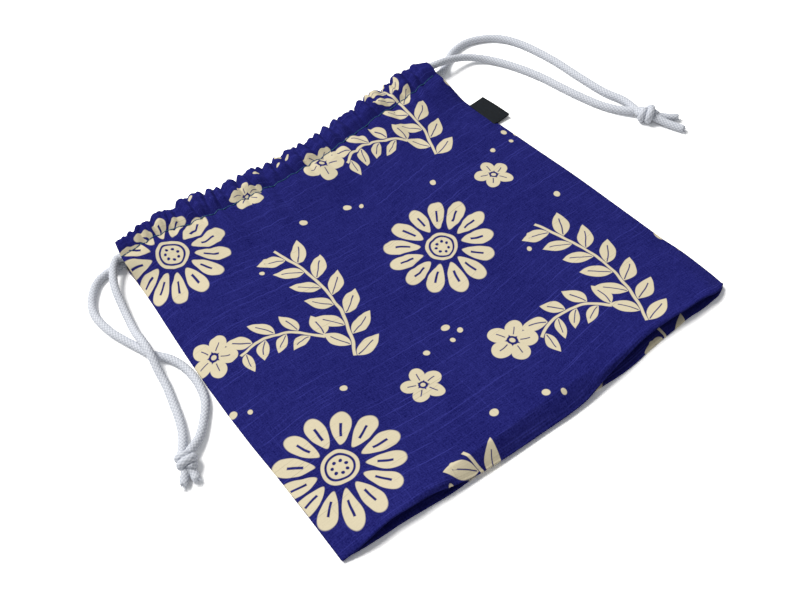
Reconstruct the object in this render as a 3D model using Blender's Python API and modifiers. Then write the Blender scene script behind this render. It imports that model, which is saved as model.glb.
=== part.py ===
"""Drawstring bag of printed slub cotton, lying on its back panel.

The bag is one folded strip of cloth: a channel at the front of the mouth, the front panel, a tuck folded in
at the base, the back panel, and a channel at the back of the mouth. Two cords run through both channels,
one tied at each side, and a folded tape label is caught in the right side seam.

Metres, +Z up. X runs across the bag and +Y from its base to its mouth. The origin is the middle of the
underside of the back panel.
"""

import math

import bmesh
import bpy
import numpy as np
from mathutils import Matrix, Vector

# Bag outline
BAG_WIDTH = 0.220
BAG_HEIGHT = 0.220
MOUTH_DRAWN_IN = 0.010
NARROWING_RUN = 0.120
MOUTH_BOW = 0.008

# Cloth and how its layers lie
CLOTH = 0.0005
LAYER_GAP = 0.0003
TUCK_DEPTH = 0.035
TUCK_OPENING = 0.0036
RISE_RUN = 0.045
EDGE_RUN = 0.037
SIDE_SEAM = 0.0015

# Drawstring channels
CHANNEL_DEPTH = 0.020
CHANNEL_RAMP = 0.005
HEM_ALLOWANCE = 0.002
HEM_INSET = 0.009
SLIT_DEPTH = 0.0135
MOUTH_GAP = 0.0046
MOUTH_SIDE_GAP = 0.0016

# Gathers along the drawn mouth
GATHERS = 8
GATHER_RUN = 0.040
GATHER_PUFF = 0.0009
GATHER_SCALLOP = 0.0016
SCALLOP_RUN = 0.030

# Cords, and their knots in cord diameters
CORD_DIAMETER = 0.0044
CORD_CLEARANCE = 0.0003
STRAND_FROM_MOUTH = 0.0055
STRAND_FROM_SEAM = 0.0065
CORD_STEP = 0.0095
KNOT_CORE = 2.3
KNOT_FLATNESS = 0.90
TURN_RING = 1.62
TURN_CORD = 0.92
TURN_FLATNESS = 0.79
TURN_SLANT = 24.0
KNOT_GAP = 0.0004
TABLE_GAP = 0.0001

# Side label
LABEL_LENGTH = 0.022
LABEL_PROUD = 0.009
LABEL_CAUGHT = 0.0025
LABEL_FROM_MOUTH = 0.0482
LABEL_TAPE = 0.0004
LABEL_LOOP = 0.0007
SEAT_GAP = 0.0003

# Mesh fineness
STATIONS_PER_GATHER = 4
BASE_FOLD_STEPS = 3
MOUTH_FOLD_STEPS = 6
SEAM_STEP = 0.015
CORD_RESOLUTION = 2
CURVE_SAMPLES = 16

# Where each cord lies outside the bag. Each point is how far it is out from the bag's side, how far past
# the mouth (below zero is towards the base), and how many cord diameters it lies above the table.
LEFT_KNOT_AT = (0.0280, -0.1375, 0.52)
LEFT_TOWARDS_TAILS = -104.0
LEFT_ENTRY_ANGLES = (80.0, 26.0)
LEFT_FRONT_LOOP = (
    (0.0236, -0.1245, 0.14),
    (0.0205, -0.1155, 0.00),
    (0.0184, -0.1048, 0.00),
    (0.0166, -0.0927, 0.05),
    (0.0162, -0.0841, 0.39),
    (0.0155, -0.0770, 0.93),
    (0.0153, -0.0710, 1.16),
    (0.0156, -0.0650, 1.07),
    (0.0161, -0.0575, 0.61),
    (0.0157, -0.0473, 0.20),
    (0.0149, -0.0373, 0.25),
    (0.0132, -0.0277, 0.66),
    (0.0103, -0.0185, 1.20),
    (0.0062, -0.0116, 1.68),
)
LEFT_BACK_LOOP = (
    (0.0044, -0.0093, 0.14),
    (0.0107, -0.0086, 0.02),
    (0.0183, -0.0107, 0.00),
    (0.0257, -0.0197, 0.00),
    (0.0287, -0.0299, 0.00),
    (0.0266, -0.0438, 0.00),
    (0.0226, -0.0547, 0.00),
    (0.0190, -0.0627, 0.00),
    (0.0147, -0.0721, 0.00),
    (0.0087, -0.0799, 0.00),
    (0.0047, -0.0903, 0.00),
    (0.0038, -0.1029, 0.00),
    (0.0059, -0.1133, 0.00),
    (0.0111, -0.1216, 0.00),
    (0.0177, -0.1292, 0.14),
)
LEFT_TAILS = (
    ((0.0286, -0.1410, 0.30), (0.0284, -0.1455, 0.07), (0.0296, -0.1505, 0.00)),
    ((0.0306, -0.1404, 0.30), (0.0336, -0.1436, 0.07), (0.0362, -0.1472, 0.00)),
)
RIGHT_KNOT_AT = (0.0598, -0.1095, 0.52)
RIGHT_TOWARDS_TAILS = -62.0
RIGHT_ENTRY_ANGLES = (124.0, 70.0)
RIGHT_FRONT_LOOP = (
    (0.0538, -0.0965, 0.14),
    (0.0496, -0.0866, 0.00),
    (0.0463, -0.0705, 0.00),
    (0.0448, -0.0573, 0.00),
    (0.0433, -0.0427, 0.00),
    (0.0399, -0.0274, 0.00),
    (0.0362, -0.0170, 0.00),
    (0.0313, -0.0083, 0.09),
    (0.0245, -0.0024, 0.43),
    (0.0175, -0.0002, 0.89),
    (0.0110, -0.0002, 1.36),
    (0.0055, -0.0009, 1.70),
)
RIGHT_BACK_LOOP = (
    (0.0050, 0.0000, 0.11),
    (0.0121, 0.0049, 0.02),
    (0.0216, 0.0106, 0.00),
    (0.0337, 0.0122, 0.00),
    (0.0460, 0.0062, 0.00),
    (0.0526, -0.0020, 0.00),
    (0.0565, -0.0132, 0.00),
    (0.0590, -0.0365, 0.00),
    (0.0584, -0.0580, 0.00),
    (0.0584, -0.0777, 0.00),
    (0.0602, -0.0912, 0.09),
)
RIGHT_TAILS = (
    ((0.0625, -0.1124, 0.34), (0.0664, -0.1164, 0.09), (0.0714, -0.1208, 0.00)),
    ((0.0610, -0.1136, 0.34), (0.0636, -0.1210, 0.07), (0.0669, -0.1296, 0.00)),
)

# Worked out from the sizes above
BASE_Y = -BAG_HEIGHT / 2
MOUTH_Y = BAG_HEIGHT / 2
MOUTH_WIDTH = BAG_WIDTH - MOUTH_DRAWN_IN
SEAM_Y = MOUTH_Y - CHANNEL_DEPTH
SLIT_Y = SEAM_Y - SLIT_DEPTH
TUCK_Y = BASE_Y + TUCK_DEPTH
HEM_END = 1 - HEM_INSET / (MOUTH_WIDTH / 2)
LAYER_STEP = CLOTH + LAYER_GAP
BACK_Z = CLOTH / 2
SIDE_STACK = 3 * LAYER_STEP
CAVITY = CORD_DIAMETER + 2 * CORD_CLEARANCE
CHANNEL_STEP = CAVITY + CLOTH
FOLD_RADIUS = LAYER_STEP / 2
BASE_FOLD_Y = BASE_Y + FOLD_RADIUS + CLOTH / 2
MOUTH_FOLD_RADIUS = CHANNEL_STEP / 2
MOUTH_FOLD_Y = MOUTH_Y - CLOTH / 2 - MOUTH_FOLD_RADIUS
BODY_STACK = CHANNEL_STEP + CLOTH + MOUTH_GAP
BASE_STACK = SIDE_STACK + TUCK_OPENING
LABEL_Y = MOUTH_Y - LABEL_FROM_MOUTH
MOUTH_SIDE_STRAND = MOUTH_Y - STRAND_FROM_MOUTH
SEAM_SIDE_STRAND = SEAM_Y + STRAND_FROM_SEAM
KNOT_RADIUS = KNOT_CORE * CORD_DIAMETER / 2
TURN_RADIUS = TURN_RING * CORD_DIAMETER / 2
TURN_CORD_RADIUS = TURN_CORD * CORD_DIAMETER / 2

BLUE = (0.017, 0.018, 0.150, 1.0)
CORD_GREY = (0.620, 0.640, 0.690, 1.0)
LABEL_BLACK = (0.012, 0.015, 0.018, 1.0)
CLOTH_ROUGHNESS = 0.85
BRAID_ROUGHNESS = 0.75
TAPE_ROUGHNESS = 0.70


def ease(t):
    """0 before t = 0, 1 after t = 1, and a smooth step between."""
    t = min(max(t, 0.0), 1.0)
    return t * t * (3 - 2 * t)


def between(a, b, t):
    return a + (b - a) * t


def half_width(y):
    """Half the bag's width at height y: straight sides that narrow towards the drawn mouth."""
    narrowing = ease((y - (MOUTH_Y - NARROWING_RUN)) / NARROWING_RUN)
    return between(BAG_WIDTH, MOUTH_WIDTH, narrowing) / 2


def crown(u):
    """How far the layers have risen from the flat side seam, 0 at the seam and 1 in the middle."""
    return ease((1 - abs(u)) * BAG_WIDTH / 2 / EDGE_RUN)


def gather(u):
    """The gathers across the mouth: 1 on a crest, 0 in a valley and at both sides."""
    return 0.5 - 0.5 * math.cos(math.pi * GATHERS * (u + 1))


def bow(u, y):
    """How far the drawn mouth dips in the middle and rises at its ends. It dies out halfway down the bag."""
    return MOUTH_BOW * (u * u - 0.5) * ease(y / SEAM_Y)


def scallop(u, y):
    """How far a gather's crest pushes the mouth's edge out, and a valley draws it in."""
    return GATHER_SCALLOP * (gather(u) - 0.5) * ease((y - (MOUTH_Y - SCALLOP_RUN)) / SCALLOP_RUN)


def puff(u, y):
    """How far a gather lifts the front of the bag. It dies out down the front panel."""
    return GATHER_PUFF * gather(u) * ease((y - (SEAM_Y - GATHER_RUN)) / GATHER_RUN)


def front_hem_height(u):
    """Mid height of the front channel's inner layer, above the back panel's, where it lies flat."""
    return CHANNEL_STEP + CLOTH + between(MOUTH_SIDE_GAP, MOUTH_GAP, crown(u))


def gathered_hem_height(u, y):
    """The same with its gathers, which the stitch line presses into it."""
    stitched = ease((SEAM_Y + CHANNEL_RAMP - y) / CHANNEL_RAMP)
    return front_hem_height(u) + puff(u, y) * stitched


def channel_height(y):
    """How far apart the two layers of a channel lie at height y, mid to mid."""
    return between(LAYER_STEP, CHANNEL_STEP, ease((y - SEAM_Y) / CHANNEL_RAMP))


def front_height(u, y):
    """Mid height of the front panel, above the back panel's."""
    middle = between(BASE_STACK, BODY_STACK, ease((y - BASE_Y) / RISE_RUN))
    body = between(SIDE_STACK, middle, crown(u))
    rise = ease((y - SLIT_Y) / (SLIT_DEPTH - HEM_ALLOWANCE))
    return between(body, front_hem_height(u) + LAYER_STEP, rise) + puff(u, y)


def leaf_height(u, y):
    """Mid height of the tuck's front leaf, from under the front fold down to the tuck's inner fold."""
    inwards = ease((y - BASE_Y) / TUCK_DEPTH)
    return between(front_height(u, BASE_Y) - LAYER_STEP, 2 * LAYER_STEP, inwards)


def fold(y, z, radius, side, start, steps):
    """A half turn about (y, z) that bulges along side * Y, beginning at the top (start 1) or the bottom (-1)."""
    turn = [math.pi * i / steps for i in range(steps + 1)]
    return [(y + side * radius * math.sin(a), z + start * radius * math.cos(a)) for a in turn]


def front_mouth_fold(u):
    """The fold over the front channel's cord, whose upper half carries the gathers."""
    hem = front_hem_height(u)
    plain = fold(MOUTH_FOLD_Y, hem + MOUTH_FOLD_RADIUS, MOUTH_FOLD_RADIUS, 1, -1, MOUTH_FOLD_STEPS)
    return [(y, z + puff(u, y) * (z - hem) / CHANNEL_STEP) for y, z in plain]


def profile(u):
    """The folded cloth's middle line at station u, from the front hem's raw edge to the back hem's."""
    hem_ys = [SEAM_Y - HEM_ALLOWANCE, SEAM_Y, SEAM_Y + CHANNEL_RAMP]
    channel_ys = list(np.linspace(SEAM_Y + CHANNEL_RAMP, SEAM_Y, 4))
    panel_ys = list(np.linspace(SEAM_Y - HEM_ALLOWANCE, SLIT_Y, 5))
    panel_ys += list(np.linspace(SLIT_Y, BASE_Y, 10))[1:-1]
    tuck_ys = list(np.linspace(BASE_Y, TUCK_Y, 6))[1:-1]
    front_fold = front_height(u, BASE_Y) - FOLD_RADIUS
    radius = MOUTH_FOLD_RADIUS
    return (
        [(y, gathered_hem_height(u, y)) for y in hem_ys]
        + front_mouth_fold(u)
        + [(y, front_hem_height(u) + channel_height(y) + puff(u, y)) for y in channel_ys]
        + [(y, front_height(u, y)) for y in panel_ys]
        + fold(BASE_FOLD_Y, front_fold, FOLD_RADIUS, -1, 1, BASE_FOLD_STEPS)
        + [(y, leaf_height(u, y)) for y in tuck_ys]
        + fold(TUCK_Y, 1.5 * LAYER_STEP, FOLD_RADIUS, 1, 1, BASE_FOLD_STEPS)
        + [(y, LAYER_STEP) for y in tuck_ys[::-1]]
        + fold(BASE_FOLD_Y, FOLD_RADIUS, FOLD_RADIUS, -1, 1, BASE_FOLD_STEPS)
        + [(y, 0.0) for y in panel_ys[::-1]]
        + [(y, 0.0) for y in hem_ys[1:]]
        + fold(MOUTH_FOLD_Y, radius, radius, 1, -1, MOUTH_FOLD_STEPS)
        + [(y, channel_height(y)) for y in channel_ys]
        + [(SEAM_Y - HEM_ALLOWANCE, LAYER_STEP)]
    )


def stations():
    """Where the profiles stand across the bag, from -1 to 1, with one at each end of the hems."""
    step = 2 / (GATHERS * STATIONS_PER_GATHER)
    count = math.floor(HEM_END / step - 0.5)
    inner = [i * step for i in range(-count, count + 1)]
    seam = 1 - SIDE_SEAM / (BAG_WIDTH / 2)
    return [-1.0, -seam, -HEM_END] + inner + [HEM_END, seam, 1.0]


def new_collection(name):
    collection = bpy.data.collections.new(name)
    bpy.context.scene.collection.children.link(collection)
    return collection


def new_object(name, data, collection):
    piece = bpy.data.objects.new(name, data)
    collection.objects.link(piece)
    return piece


def new_helper(name, data, collection):
    """A shape that is only joined into others, so it isn't a part of its own."""
    piece = new_object(name, data, collection)
    piece.hide_render = True
    piece.display_type = "WIRE"
    return piece


def new_finish(name, colour, roughness):
    """A plain Principled finish."""
    material = bpy.data.materials.new(name)
    material.use_nodes = True
    shader = material.node_tree.nodes["Principled BSDF"]
    shader.inputs["Base Color"].default_value = colour
    shader.inputs["Roughness"].default_value = roughness
    shader.inputs["Metallic"].default_value = 0.0
    material.diffuse_color = colour
    return material


def mesh_from(name, build, *sizes):
    """A mesh filled in by build, which gets an empty bmesh."""
    mesh = bpy.data.meshes.new(name)
    form = bmesh.new()
    build(form, *sizes)
    form.to_mesh(mesh)
    form.free()
    return mesh


def add_thickness(piece, thickness):
    wall = piece.modifiers.new("thickness", "SOLIDIFY")
    wall.thickness = thickness
    wall.offset = 0.0
    wall.use_even_offset = True


def add_union(piece, other):
    joined = piece.modifiers.new("union", "BOOLEAN")
    joined.operation = "UNION"
    joined.object = other


def loft(form, rows, keep=lambda i, j: True):
    """Quads between rows of equally many points. keep(i, j) says which cells are made."""
    made = [[form.verts.new(point) for point in row] for row in rows]
    for i in range(len(made) - 1):
        for j in range(len(made[i]) - 1):
            if keep(i, j):
                form.faces.new((made[i][j], made[i][j + 1], made[i + 1][j + 1], made[i + 1][j]))
    bmesh.ops.delete(form, geom=[v for v in form.verts if not v.link_faces], context="VERTS")
    bmesh.ops.recalc_face_normals(form, faces=form.faces)


def fill_folded_cloth(form):
    """The whole strip of cloth as one open sheet, lofted through its profiles from side to side.

    The hems and the lower half of each mouth fold stop short of the sides, where the cords go in and out.
    """
    across = stations()
    rows = []
    for u in across:
        line = [(y, y + bow(u, y) + scallop(u, y), z) for y, z in profile(u)]
        rows.append([(u * half_width(y), lifted, BACK_Z + z) for y, lifted, z in line])
    last = len(rows[0]) - 1
    front_hem_cells = 3 + MOUTH_FOLD_STEPS // 2
    back_hem_cells = 5 + MOUTH_FOLD_STEPS // 2

    def keep(i, j):
        past_hem_end = abs(across[i] + across[i + 1]) / 2 > HEM_END
        in_hem = j < front_hem_cells or j >= last - back_hem_cells
        return not (past_hem_end and in_hem)

    loft(form, rows, keep)


def fill_side_seam(form, side, low, high):
    """The sewn side seam from y = low to high, which joins the layers that meet there."""
    rows = []
    for y in np.linspace(low, high, max(2, math.ceil((high - low) / SEAM_STEP) + 1)):
        outer = side * (half_width(y) - CLOTH / 2)
        inner = side * (half_width(y) - SIDE_SEAM)
        corners = ((inner, BACK_Z), (outer, BACK_Z), (outer, BACK_Z + SIDE_STACK), (inner, BACK_Z + SIDE_STACK))
        rows.append([(x, y + bow(1.0, y), z) for x, z in corners + corners[:1]])
    loft(form, rows)
    bmesh.ops.remove_doubles(form, verts=form.verts, dist=CLOTH / 100)
    bmesh.ops.holes_fill(form, edges=form.edges)
    bmesh.ops.recalc_face_normals(form, faces=form.faces)


def make_bag_cloth(parts, helpers, material):
    cloth = new_object("bag_cloth", mesh_from("bag_cloth", fill_folded_cloth), parts)
    cloth.data.materials.append(material)
    add_thickness(cloth, CLOTH)
    above_base_fold = BASE_Y + LAYER_STEP
    label_low = LABEL_Y - LABEL_LENGTH / 2 - SEAT_GAP
    label_high = LABEL_Y + LABEL_LENGTH / 2 + SEAT_GAP
    seams = (
        ("left_side_seam", -1, above_base_fold, SLIT_Y),
        ("right_side_seam_below_label", 1, above_base_fold, label_low),
        ("right_side_seam_above_label", 1, label_high, SLIT_Y),
    )
    for name, side, low, high in seams:
        add_union(cloth, new_helper(name, mesh_from(name, fill_side_seam, side, low, high), helpers))
    cloth.data.shade_smooth()
    cloth.data.set_sharp_from_angle(angle=math.radians(40))


def fill_label(form):
    """Tape folded in two at its outer edge, with both its ends caught in the right side seam."""
    edge = half_width(LABEL_Y)
    fold_x = edge + LABEL_PROUD - LABEL_LOOP / 2 - LABEL_TAPE / 2
    middle = BACK_Z + SIDE_STACK / 2
    line = [(edge - LABEL_CAUGHT, middle + LABEL_LOOP / 2)]
    line += fold(fold_x, middle, LABEL_LOOP / 2, 1, 1, BASE_FOLD_STEPS + 1)
    line += [(edge - LABEL_CAUGHT, middle - LABEL_LOOP / 2)]
    low = LABEL_Y - LABEL_LENGTH / 2 + bow(1.0, LABEL_Y)
    loft(form, [[(x, y, z) for x, z in line] for y in (low, low + LABEL_LENGTH)])


def make_side_label(parts, material):
    label = new_object("side_label", mesh_from("side_label", fill_label), parts)
    label.data.materials.append(material)
    add_thickness(label, LABEL_TAPE)


def smooth_route(points, step):
    """Points about step apart on a smooth curve through the given ones (a centripetal Catmull-Rom curve)."""
    given = np.array(points, float)
    ends = np.vstack([2 * given[0] - given[1], given, 2 * given[-1] - given[-2]])
    times = np.concatenate([[0.0], np.cumsum(np.sqrt(np.linalg.norm(np.diff(ends, axis=0), axis=1)))])
    fine = []
    for i in range(1, len(ends) - 2):
        t0, t1, t2, t3 = times[i - 1:i + 3]
        p0, p1, p2, p3 = ends[i - 1:i + 3]
        for t in np.linspace(t1, t2, CURVE_SAMPLES, endpoint=False):
            a1 = between(p0, p1, (t - t0) / (t1 - t0))
            a2 = between(p1, p2, (t - t1) / (t2 - t1))
            a3 = between(p2, p3, (t - t2) / (t3 - t2))
            b1 = between(a1, a2, (t - t0) / (t2 - t0))
            b2 = between(a2, a3, (t - t1) / (t3 - t1))
            fine.append(between(b1, b2, (t - t1) / (t2 - t1)))
    fine = np.array(fine + [given[-1]])
    along = np.concatenate([[0.0], np.cumsum(np.linalg.norm(np.diff(fine, axis=0), axis=1))])
    at = np.linspace(0.0, along[-1], max(2, round(along[-1] / step)) + 1)
    return np.column_stack([np.interp(at, along, fine[:, k]) for k in range(3)])


def beside_bag(side, point):
    """A point of a cord's free loop. side is -1 for the left side and 1 for the right."""
    out, past_mouth, level = point
    y = MOUTH_Y + past_mouth
    return (side * (half_width(y) + out), y, TABLE_GAP + CORD_DIAMETER * (level + 0.5))


def knot_entry(centre, angle):
    """Where a strand ends, just short of its knot, on the side given by the angle in plan."""
    a = math.radians(angle)
    reach = max(KNOT_RADIUS, TURN_RADIUS + TURN_CORD_RADIUS) + KNOT_GAP
    return (centre[0] + reach * math.cos(a), centre[1] + reach * math.sin(a), centre[2])


def strand(u, y, height):
    """A point on a strand in a channel whose middle is at that height above the back panel."""
    return (u * half_width(y), y + bow(u, y), BACK_Z + height)


def hidden_stretch(side, y):
    """The cord inside the bag: along the front channel, round the hems' ends, and back along the back one.

    side is -1 for the cord tied at the left, whose turn is at the right, and 1 for the other one.
    """
    turn_at = 1 - (HEM_INSET - SEAT_GAP) / half_width(y)
    count = round(half_width(y) * (1 + turn_at) / CORD_STEP)
    across = [side * (1 - (1 + turn_at) * i / count) for i in range(count + 1)]
    there = [strand(u, y, front_hem_height(u) + MOUTH_FOLD_RADIUS) for u in across]
    back = [strand(u, y, MOUTH_FOLD_RADIUS) for u in across[::-1]]
    top, bottom = np.array(there[-1]), np.array(back[0])
    centre, radius = (top + bottom) / 2, (top - bottom)[2] / 2
    turn = []
    for angle in np.radians((60.0, 20.0, -20.0, -60.0)):
        turn.append(centre + radius * np.array((-side * math.cos(angle), 0.0, math.sin(angle))))
    return there, turn, back


def tube(name, points, collection):
    """A length of the cord as a curve with filled ends."""
    curve = bpy.data.curves.new(name, "CURVE")
    curve.dimensions = "3D"
    curve.bevel_depth = CORD_DIAMETER / 2
    curve.bevel_resolution = CORD_RESOLUTION
    curve.use_fill_caps = True
    spline = curve.splines.new("POLY")
    spline.points.add(len(points) - 1)
    for point, place in zip(spline.points, points):
        point.co = (*place, 1.0)
    return new_object(name, curve, collection)


def make_cord(name, side, strand_y, knot_at, entry_angles, front_loop, back_loop, parts, material):
    """One drawstring, from its knot through both channels and back to the knot."""
    knot = beside_bag(side, knot_at)
    entries = [knot_entry(knot, angle) for angle in entry_angles]
    out_loop = [beside_bag(side, point) for point in front_loop]
    home_loop = [beside_bag(side, point) for point in back_loop]
    there, turn, back = hidden_stretch(side, strand_y)
    first = smooth_route(entries[:1] + out_loop + there[:2], CORD_STEP)
    last = smooth_route(back[-2:] + home_loop + entries[1:], CORD_STEP)
    route = list(first) + there[2:] + turn + back[:-2] + list(last)
    cord = tube(name, route, parts)
    cord.data.materials.append(material)


def welded_tube(name, points, collection):
    """A length of the cord as a closed mesh, which can be joined into another."""
    curve = tube(name + "_line", points, collection)
    bpy.context.view_layer.update()
    evaluated = curve.evaluated_get(bpy.context.evaluated_depsgraph_get())
    mesh = bpy.data.meshes.new_from_object(evaluated)
    bpy.data.objects.remove(curve)
    form = bmesh.new()
    form.from_mesh(mesh)
    bmesh.ops.remove_doubles(form, verts=form.verts, dist=CLOTH / 100)
    bmesh.ops.recalc_face_normals(form, faces=form.faces)
    form.to_mesh(mesh)
    form.free()
    return new_helper(name, mesh, collection)


def fill_turn(form):
    """The turn of cord round a knot: a ring about the X axis."""
    bmesh.ops.create_circle(form, segments=10, radius=TURN_CORD_RADIUS)
    bmesh.ops.transform(form, matrix=Matrix.Rotation(math.pi / 2, 4, "X"), verts=form.verts)
    bmesh.ops.translate(form, vec=(TURN_RADIUS, 0, 0), verts=form.verts)
    section = form.edges[:] + form.verts[:]
    bmesh.ops.spin(form, geom=section, cent=(0, 0, 0), axis=(0, 0, 1), angle=2 * math.pi, steps=20, use_merge=True)
    bmesh.ops.remove_doubles(form, verts=form.verts, dist=CLOTH / 100)
    bmesh.ops.transform(form, matrix=Matrix.Rotation(math.pi / 2, 4, "Y"), verts=form.verts)
    bmesh.ops.recalc_face_normals(form, faces=form.faces)


def fill_knot_core(form):
    bmesh.ops.create_uvsphere(form, u_segments=20, v_segments=12, radius=KNOT_RADIUS)
    bmesh.ops.scale(form, vec=(1, 1, KNOT_FLATNESS), verts=form.verts)


def make_knot(name, side, knot_at, towards_tails, tails, parts, helpers, material):
    """An overhand knot tied in both strands: its tight core, the turn round it, and two cut tails."""
    centre = Vector(beside_bag(side, knot_at))
    facing = Matrix.Translation(centre) @ Matrix.Rotation(math.radians(towards_tails), 4, "Z")
    knot = new_object(name, mesh_from(name, fill_knot_core), parts)
    knot.data.transform(facing)
    knot.data.materials.append(material)
    turn = new_helper(name + "_turn", mesh_from(name + "_turn", fill_turn), helpers)
    slant = Matrix.Rotation(math.radians(TURN_SLANT), 4, "Z")
    turn.data.transform(facing @ slant @ Matrix.Diagonal((1, 1, TURN_FLATNESS, 1)))
    add_union(knot, turn)
    for number, tail in enumerate(tails, 1):
        points = smooth_route([centre] + [beside_bag(side, point) for point in tail], CORD_DIAMETER / 2)
        add_union(knot, welded_tube(f"{name}_tail_{number}", points, helpers))
    knot.data.shade_smooth()


def main():
    for old in list(bpy.data.objects):
        bpy.data.objects.remove(old)
    parts = new_collection("furoshiki_bag")
    helpers = new_collection("joined_shapes")
    cotton = new_finish("blue_cotton", BLUE, CLOTH_ROUGHNESS)
    braid = new_finish("grey_braid", CORD_GREY, BRAID_ROUGHNESS)
    tape = new_finish("black_tape", LABEL_BLACK, TAPE_ROUGHNESS)
    make_bag_cloth(parts, helpers, cotton)
    make_side_label(parts, tape)
    make_cord("left_cord", -1, SEAM_SIDE_STRAND, LEFT_KNOT_AT, LEFT_ENTRY_ANGLES,
              LEFT_FRONT_LOOP, LEFT_BACK_LOOP, parts, braid)
    make_cord("right_cord", 1, MOUTH_SIDE_STRAND, RIGHT_KNOT_AT, RIGHT_ENTRY_ANGLES,
              RIGHT_FRONT_LOOP, RIGHT_BACK_LOOP, parts, braid)
    make_knot("left_knot", -1, LEFT_KNOT_AT, LEFT_TOWARDS_TAILS, LEFT_TAILS, parts, helpers, braid)
    make_knot("right_knot", 1, RIGHT_KNOT_AT, RIGHT_TOWARDS_TAILS, RIGHT_TAILS, parts, helpers, braid)


main()
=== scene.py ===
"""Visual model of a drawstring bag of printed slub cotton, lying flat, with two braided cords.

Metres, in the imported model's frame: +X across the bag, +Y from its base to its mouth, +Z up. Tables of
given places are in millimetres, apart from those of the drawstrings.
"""

import math
from collections import namedtuple

import bpy
import numpy as np
from bpy.props import FloatProperty, FloatVectorProperty, IntProperty, PointerProperty
from mathutils import Matrix, Vector


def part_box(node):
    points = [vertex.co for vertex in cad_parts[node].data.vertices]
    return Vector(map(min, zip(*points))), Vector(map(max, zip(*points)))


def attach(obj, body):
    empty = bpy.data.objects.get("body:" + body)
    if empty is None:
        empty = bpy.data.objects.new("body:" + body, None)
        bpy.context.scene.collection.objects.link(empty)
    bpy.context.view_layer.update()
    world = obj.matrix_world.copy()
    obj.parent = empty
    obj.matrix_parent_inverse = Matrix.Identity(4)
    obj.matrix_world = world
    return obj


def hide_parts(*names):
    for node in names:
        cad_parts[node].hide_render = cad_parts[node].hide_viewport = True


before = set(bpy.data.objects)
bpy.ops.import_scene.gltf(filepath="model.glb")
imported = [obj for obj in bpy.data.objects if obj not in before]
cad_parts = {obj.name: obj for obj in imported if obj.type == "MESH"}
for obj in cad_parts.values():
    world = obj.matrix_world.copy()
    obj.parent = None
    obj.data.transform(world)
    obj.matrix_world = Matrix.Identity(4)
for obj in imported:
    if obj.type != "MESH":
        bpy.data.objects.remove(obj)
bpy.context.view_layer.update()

bl_info = {
    "name": "Furoshiki Bag",
    "version": (1, 0, 0),
    "blender": (4, 5, 0),
    "location": "View3D > Sidebar > Bag",
    "description": "Models a flat drawstring bag of printed cotton with its cords, label and stitching",
    "category": "Object",
}

MM = 0.001
TURN = 2 * math.pi

# Camera: its place and the directions to its right, up and behind it
CAMERA_AT = (-0.16175, -0.29014, 0.38643)
CAMERA_RIGHT = (0.80404, -0.58520, -0.10521)
CAMERA_UP = (0.51134, 0.59026, 0.62461)
CAMERA_BACK = (-0.30342, -0.55600, 0.77382)

# The bag's outline from above: where its edges lie, by how far up the bag
LEFT_EDGE = ((-118, -109.6), (-63, -110.0), (-28, -111.0), (24, -110.2), (50, -108.9), (70, -107.8),
             (86, -107.4), (98, -107.4), (104, -106.4), (110, -105.2), (116, -104.0))
RIGHT_EDGE = ((-118, 109.4), (-112, 109.6), (-109, 111.0), (-106, 111.9), (-102, 112.3), (-96, 112.5),
              (-60, 112.0), (-36, 111.4), (0, 110.2), (17, 109.1), (52, 107.0), (70, 105.5), (80, 104.3),
              (88, 103.1), (95, 102.2), (102, 101.5), (109, 101.2), (114, 99.8), (118, 97.8))
HALF_WIDTH = 0.110

# The mouth: where its edge and its stitch line lie, by place across the bag
FRONT_SEAM = ((-110, 97.8), (-104, 98.4), (-91, 99.2), (-79, 97.8), (-66, 94.8), (-41, 91.6), (-2, 89.2),
              (24, 90.8), (45, 93.8), (64, 96.4), (86, 98.4), (98, 100.8), (110, 102.6))
FRONT_MOUTH = ((-110, 107.4), (-105, 108.8), (-91.6, 111.0), (-70, 112.6), (-58, 111.2), (-46, 108.6),
               (-28, 106.8), (-15, 105.8), (4, 105.4), (24, 106.6), (38, 108.6), (55, 111.4), (74, 114.0),
               (85, 115.4), (97, 116.8), (104, 116.2), (110, 112.8))
BACK_SEAM = ((-110, 96.0), (-60, 92.0), (0, 88.0), (60, 92.4), (110, 98.4))
BACK_MOUTH = ((-110, 106.6), (-92, 110.4), (-60, 109.4), (0, 104.4), (50, 108.6), (92, 113.2), (110, 112.0))

# The empty front panel's height, by place up the bag
PANEL_HEIGHT = ((-113, 8.8), (-106, 7.6), (-100, 6.7), (-93, 5.9), (-85, 5.3), (-72, 4.6), (-45, 4.1),
                (0, 4.0), (30, 4.3), (52, 5.1), (70, 6.2), (82, 7.0), (120, 7.4))

# The cloth
CLOTH_THICKNESS = 0.0005
LAYER_STEP = 0.0006  # between the middles of two layers that touch
SIDE_LAYER = 0.00052  # the same at the sewn sides

# The channels at the mouth
CHANNEL_STEP = 0.0053  # between a channel's two layers over its cord
CHANNEL_RISE = 0.0060  # run from the stitches to that height
MOUTH_GAP = 0.0010  # between the front channel and the back one
MOUTH_FOLD = 0.00255  # reach of the fold at the mouth
STITCH_LIFT = 0.0027  # height of the stitch line over the hem's own
RIDGE = 0.0019  # rise of the cloth between its creases
PRESSED = 0.0006  # how far a crease sinks at the stitches
PRESSED_RUN = 0.005
MOUTH_BELOW = -0.018  # place below the stitches where the mouth's creases are taken
SEAM_GIVE, MOUTH_GIVE, BACK_MOUTH_GIVE = 0.0005, 0.0011, 0.0010  # how far a crease draws each edge in
CORD_DIP, CORD_DIP_RUN = 0.00035, 0.0017  # the dip between the two cords
STITCH_RIDGE, STITCH_RIDGE_RUN = 0.00028, 0.0015  # the ridge along the back's stitches
HEM_ALLOWANCE = 0.0035  # how far a turned-in hem goes past the stitches
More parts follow.
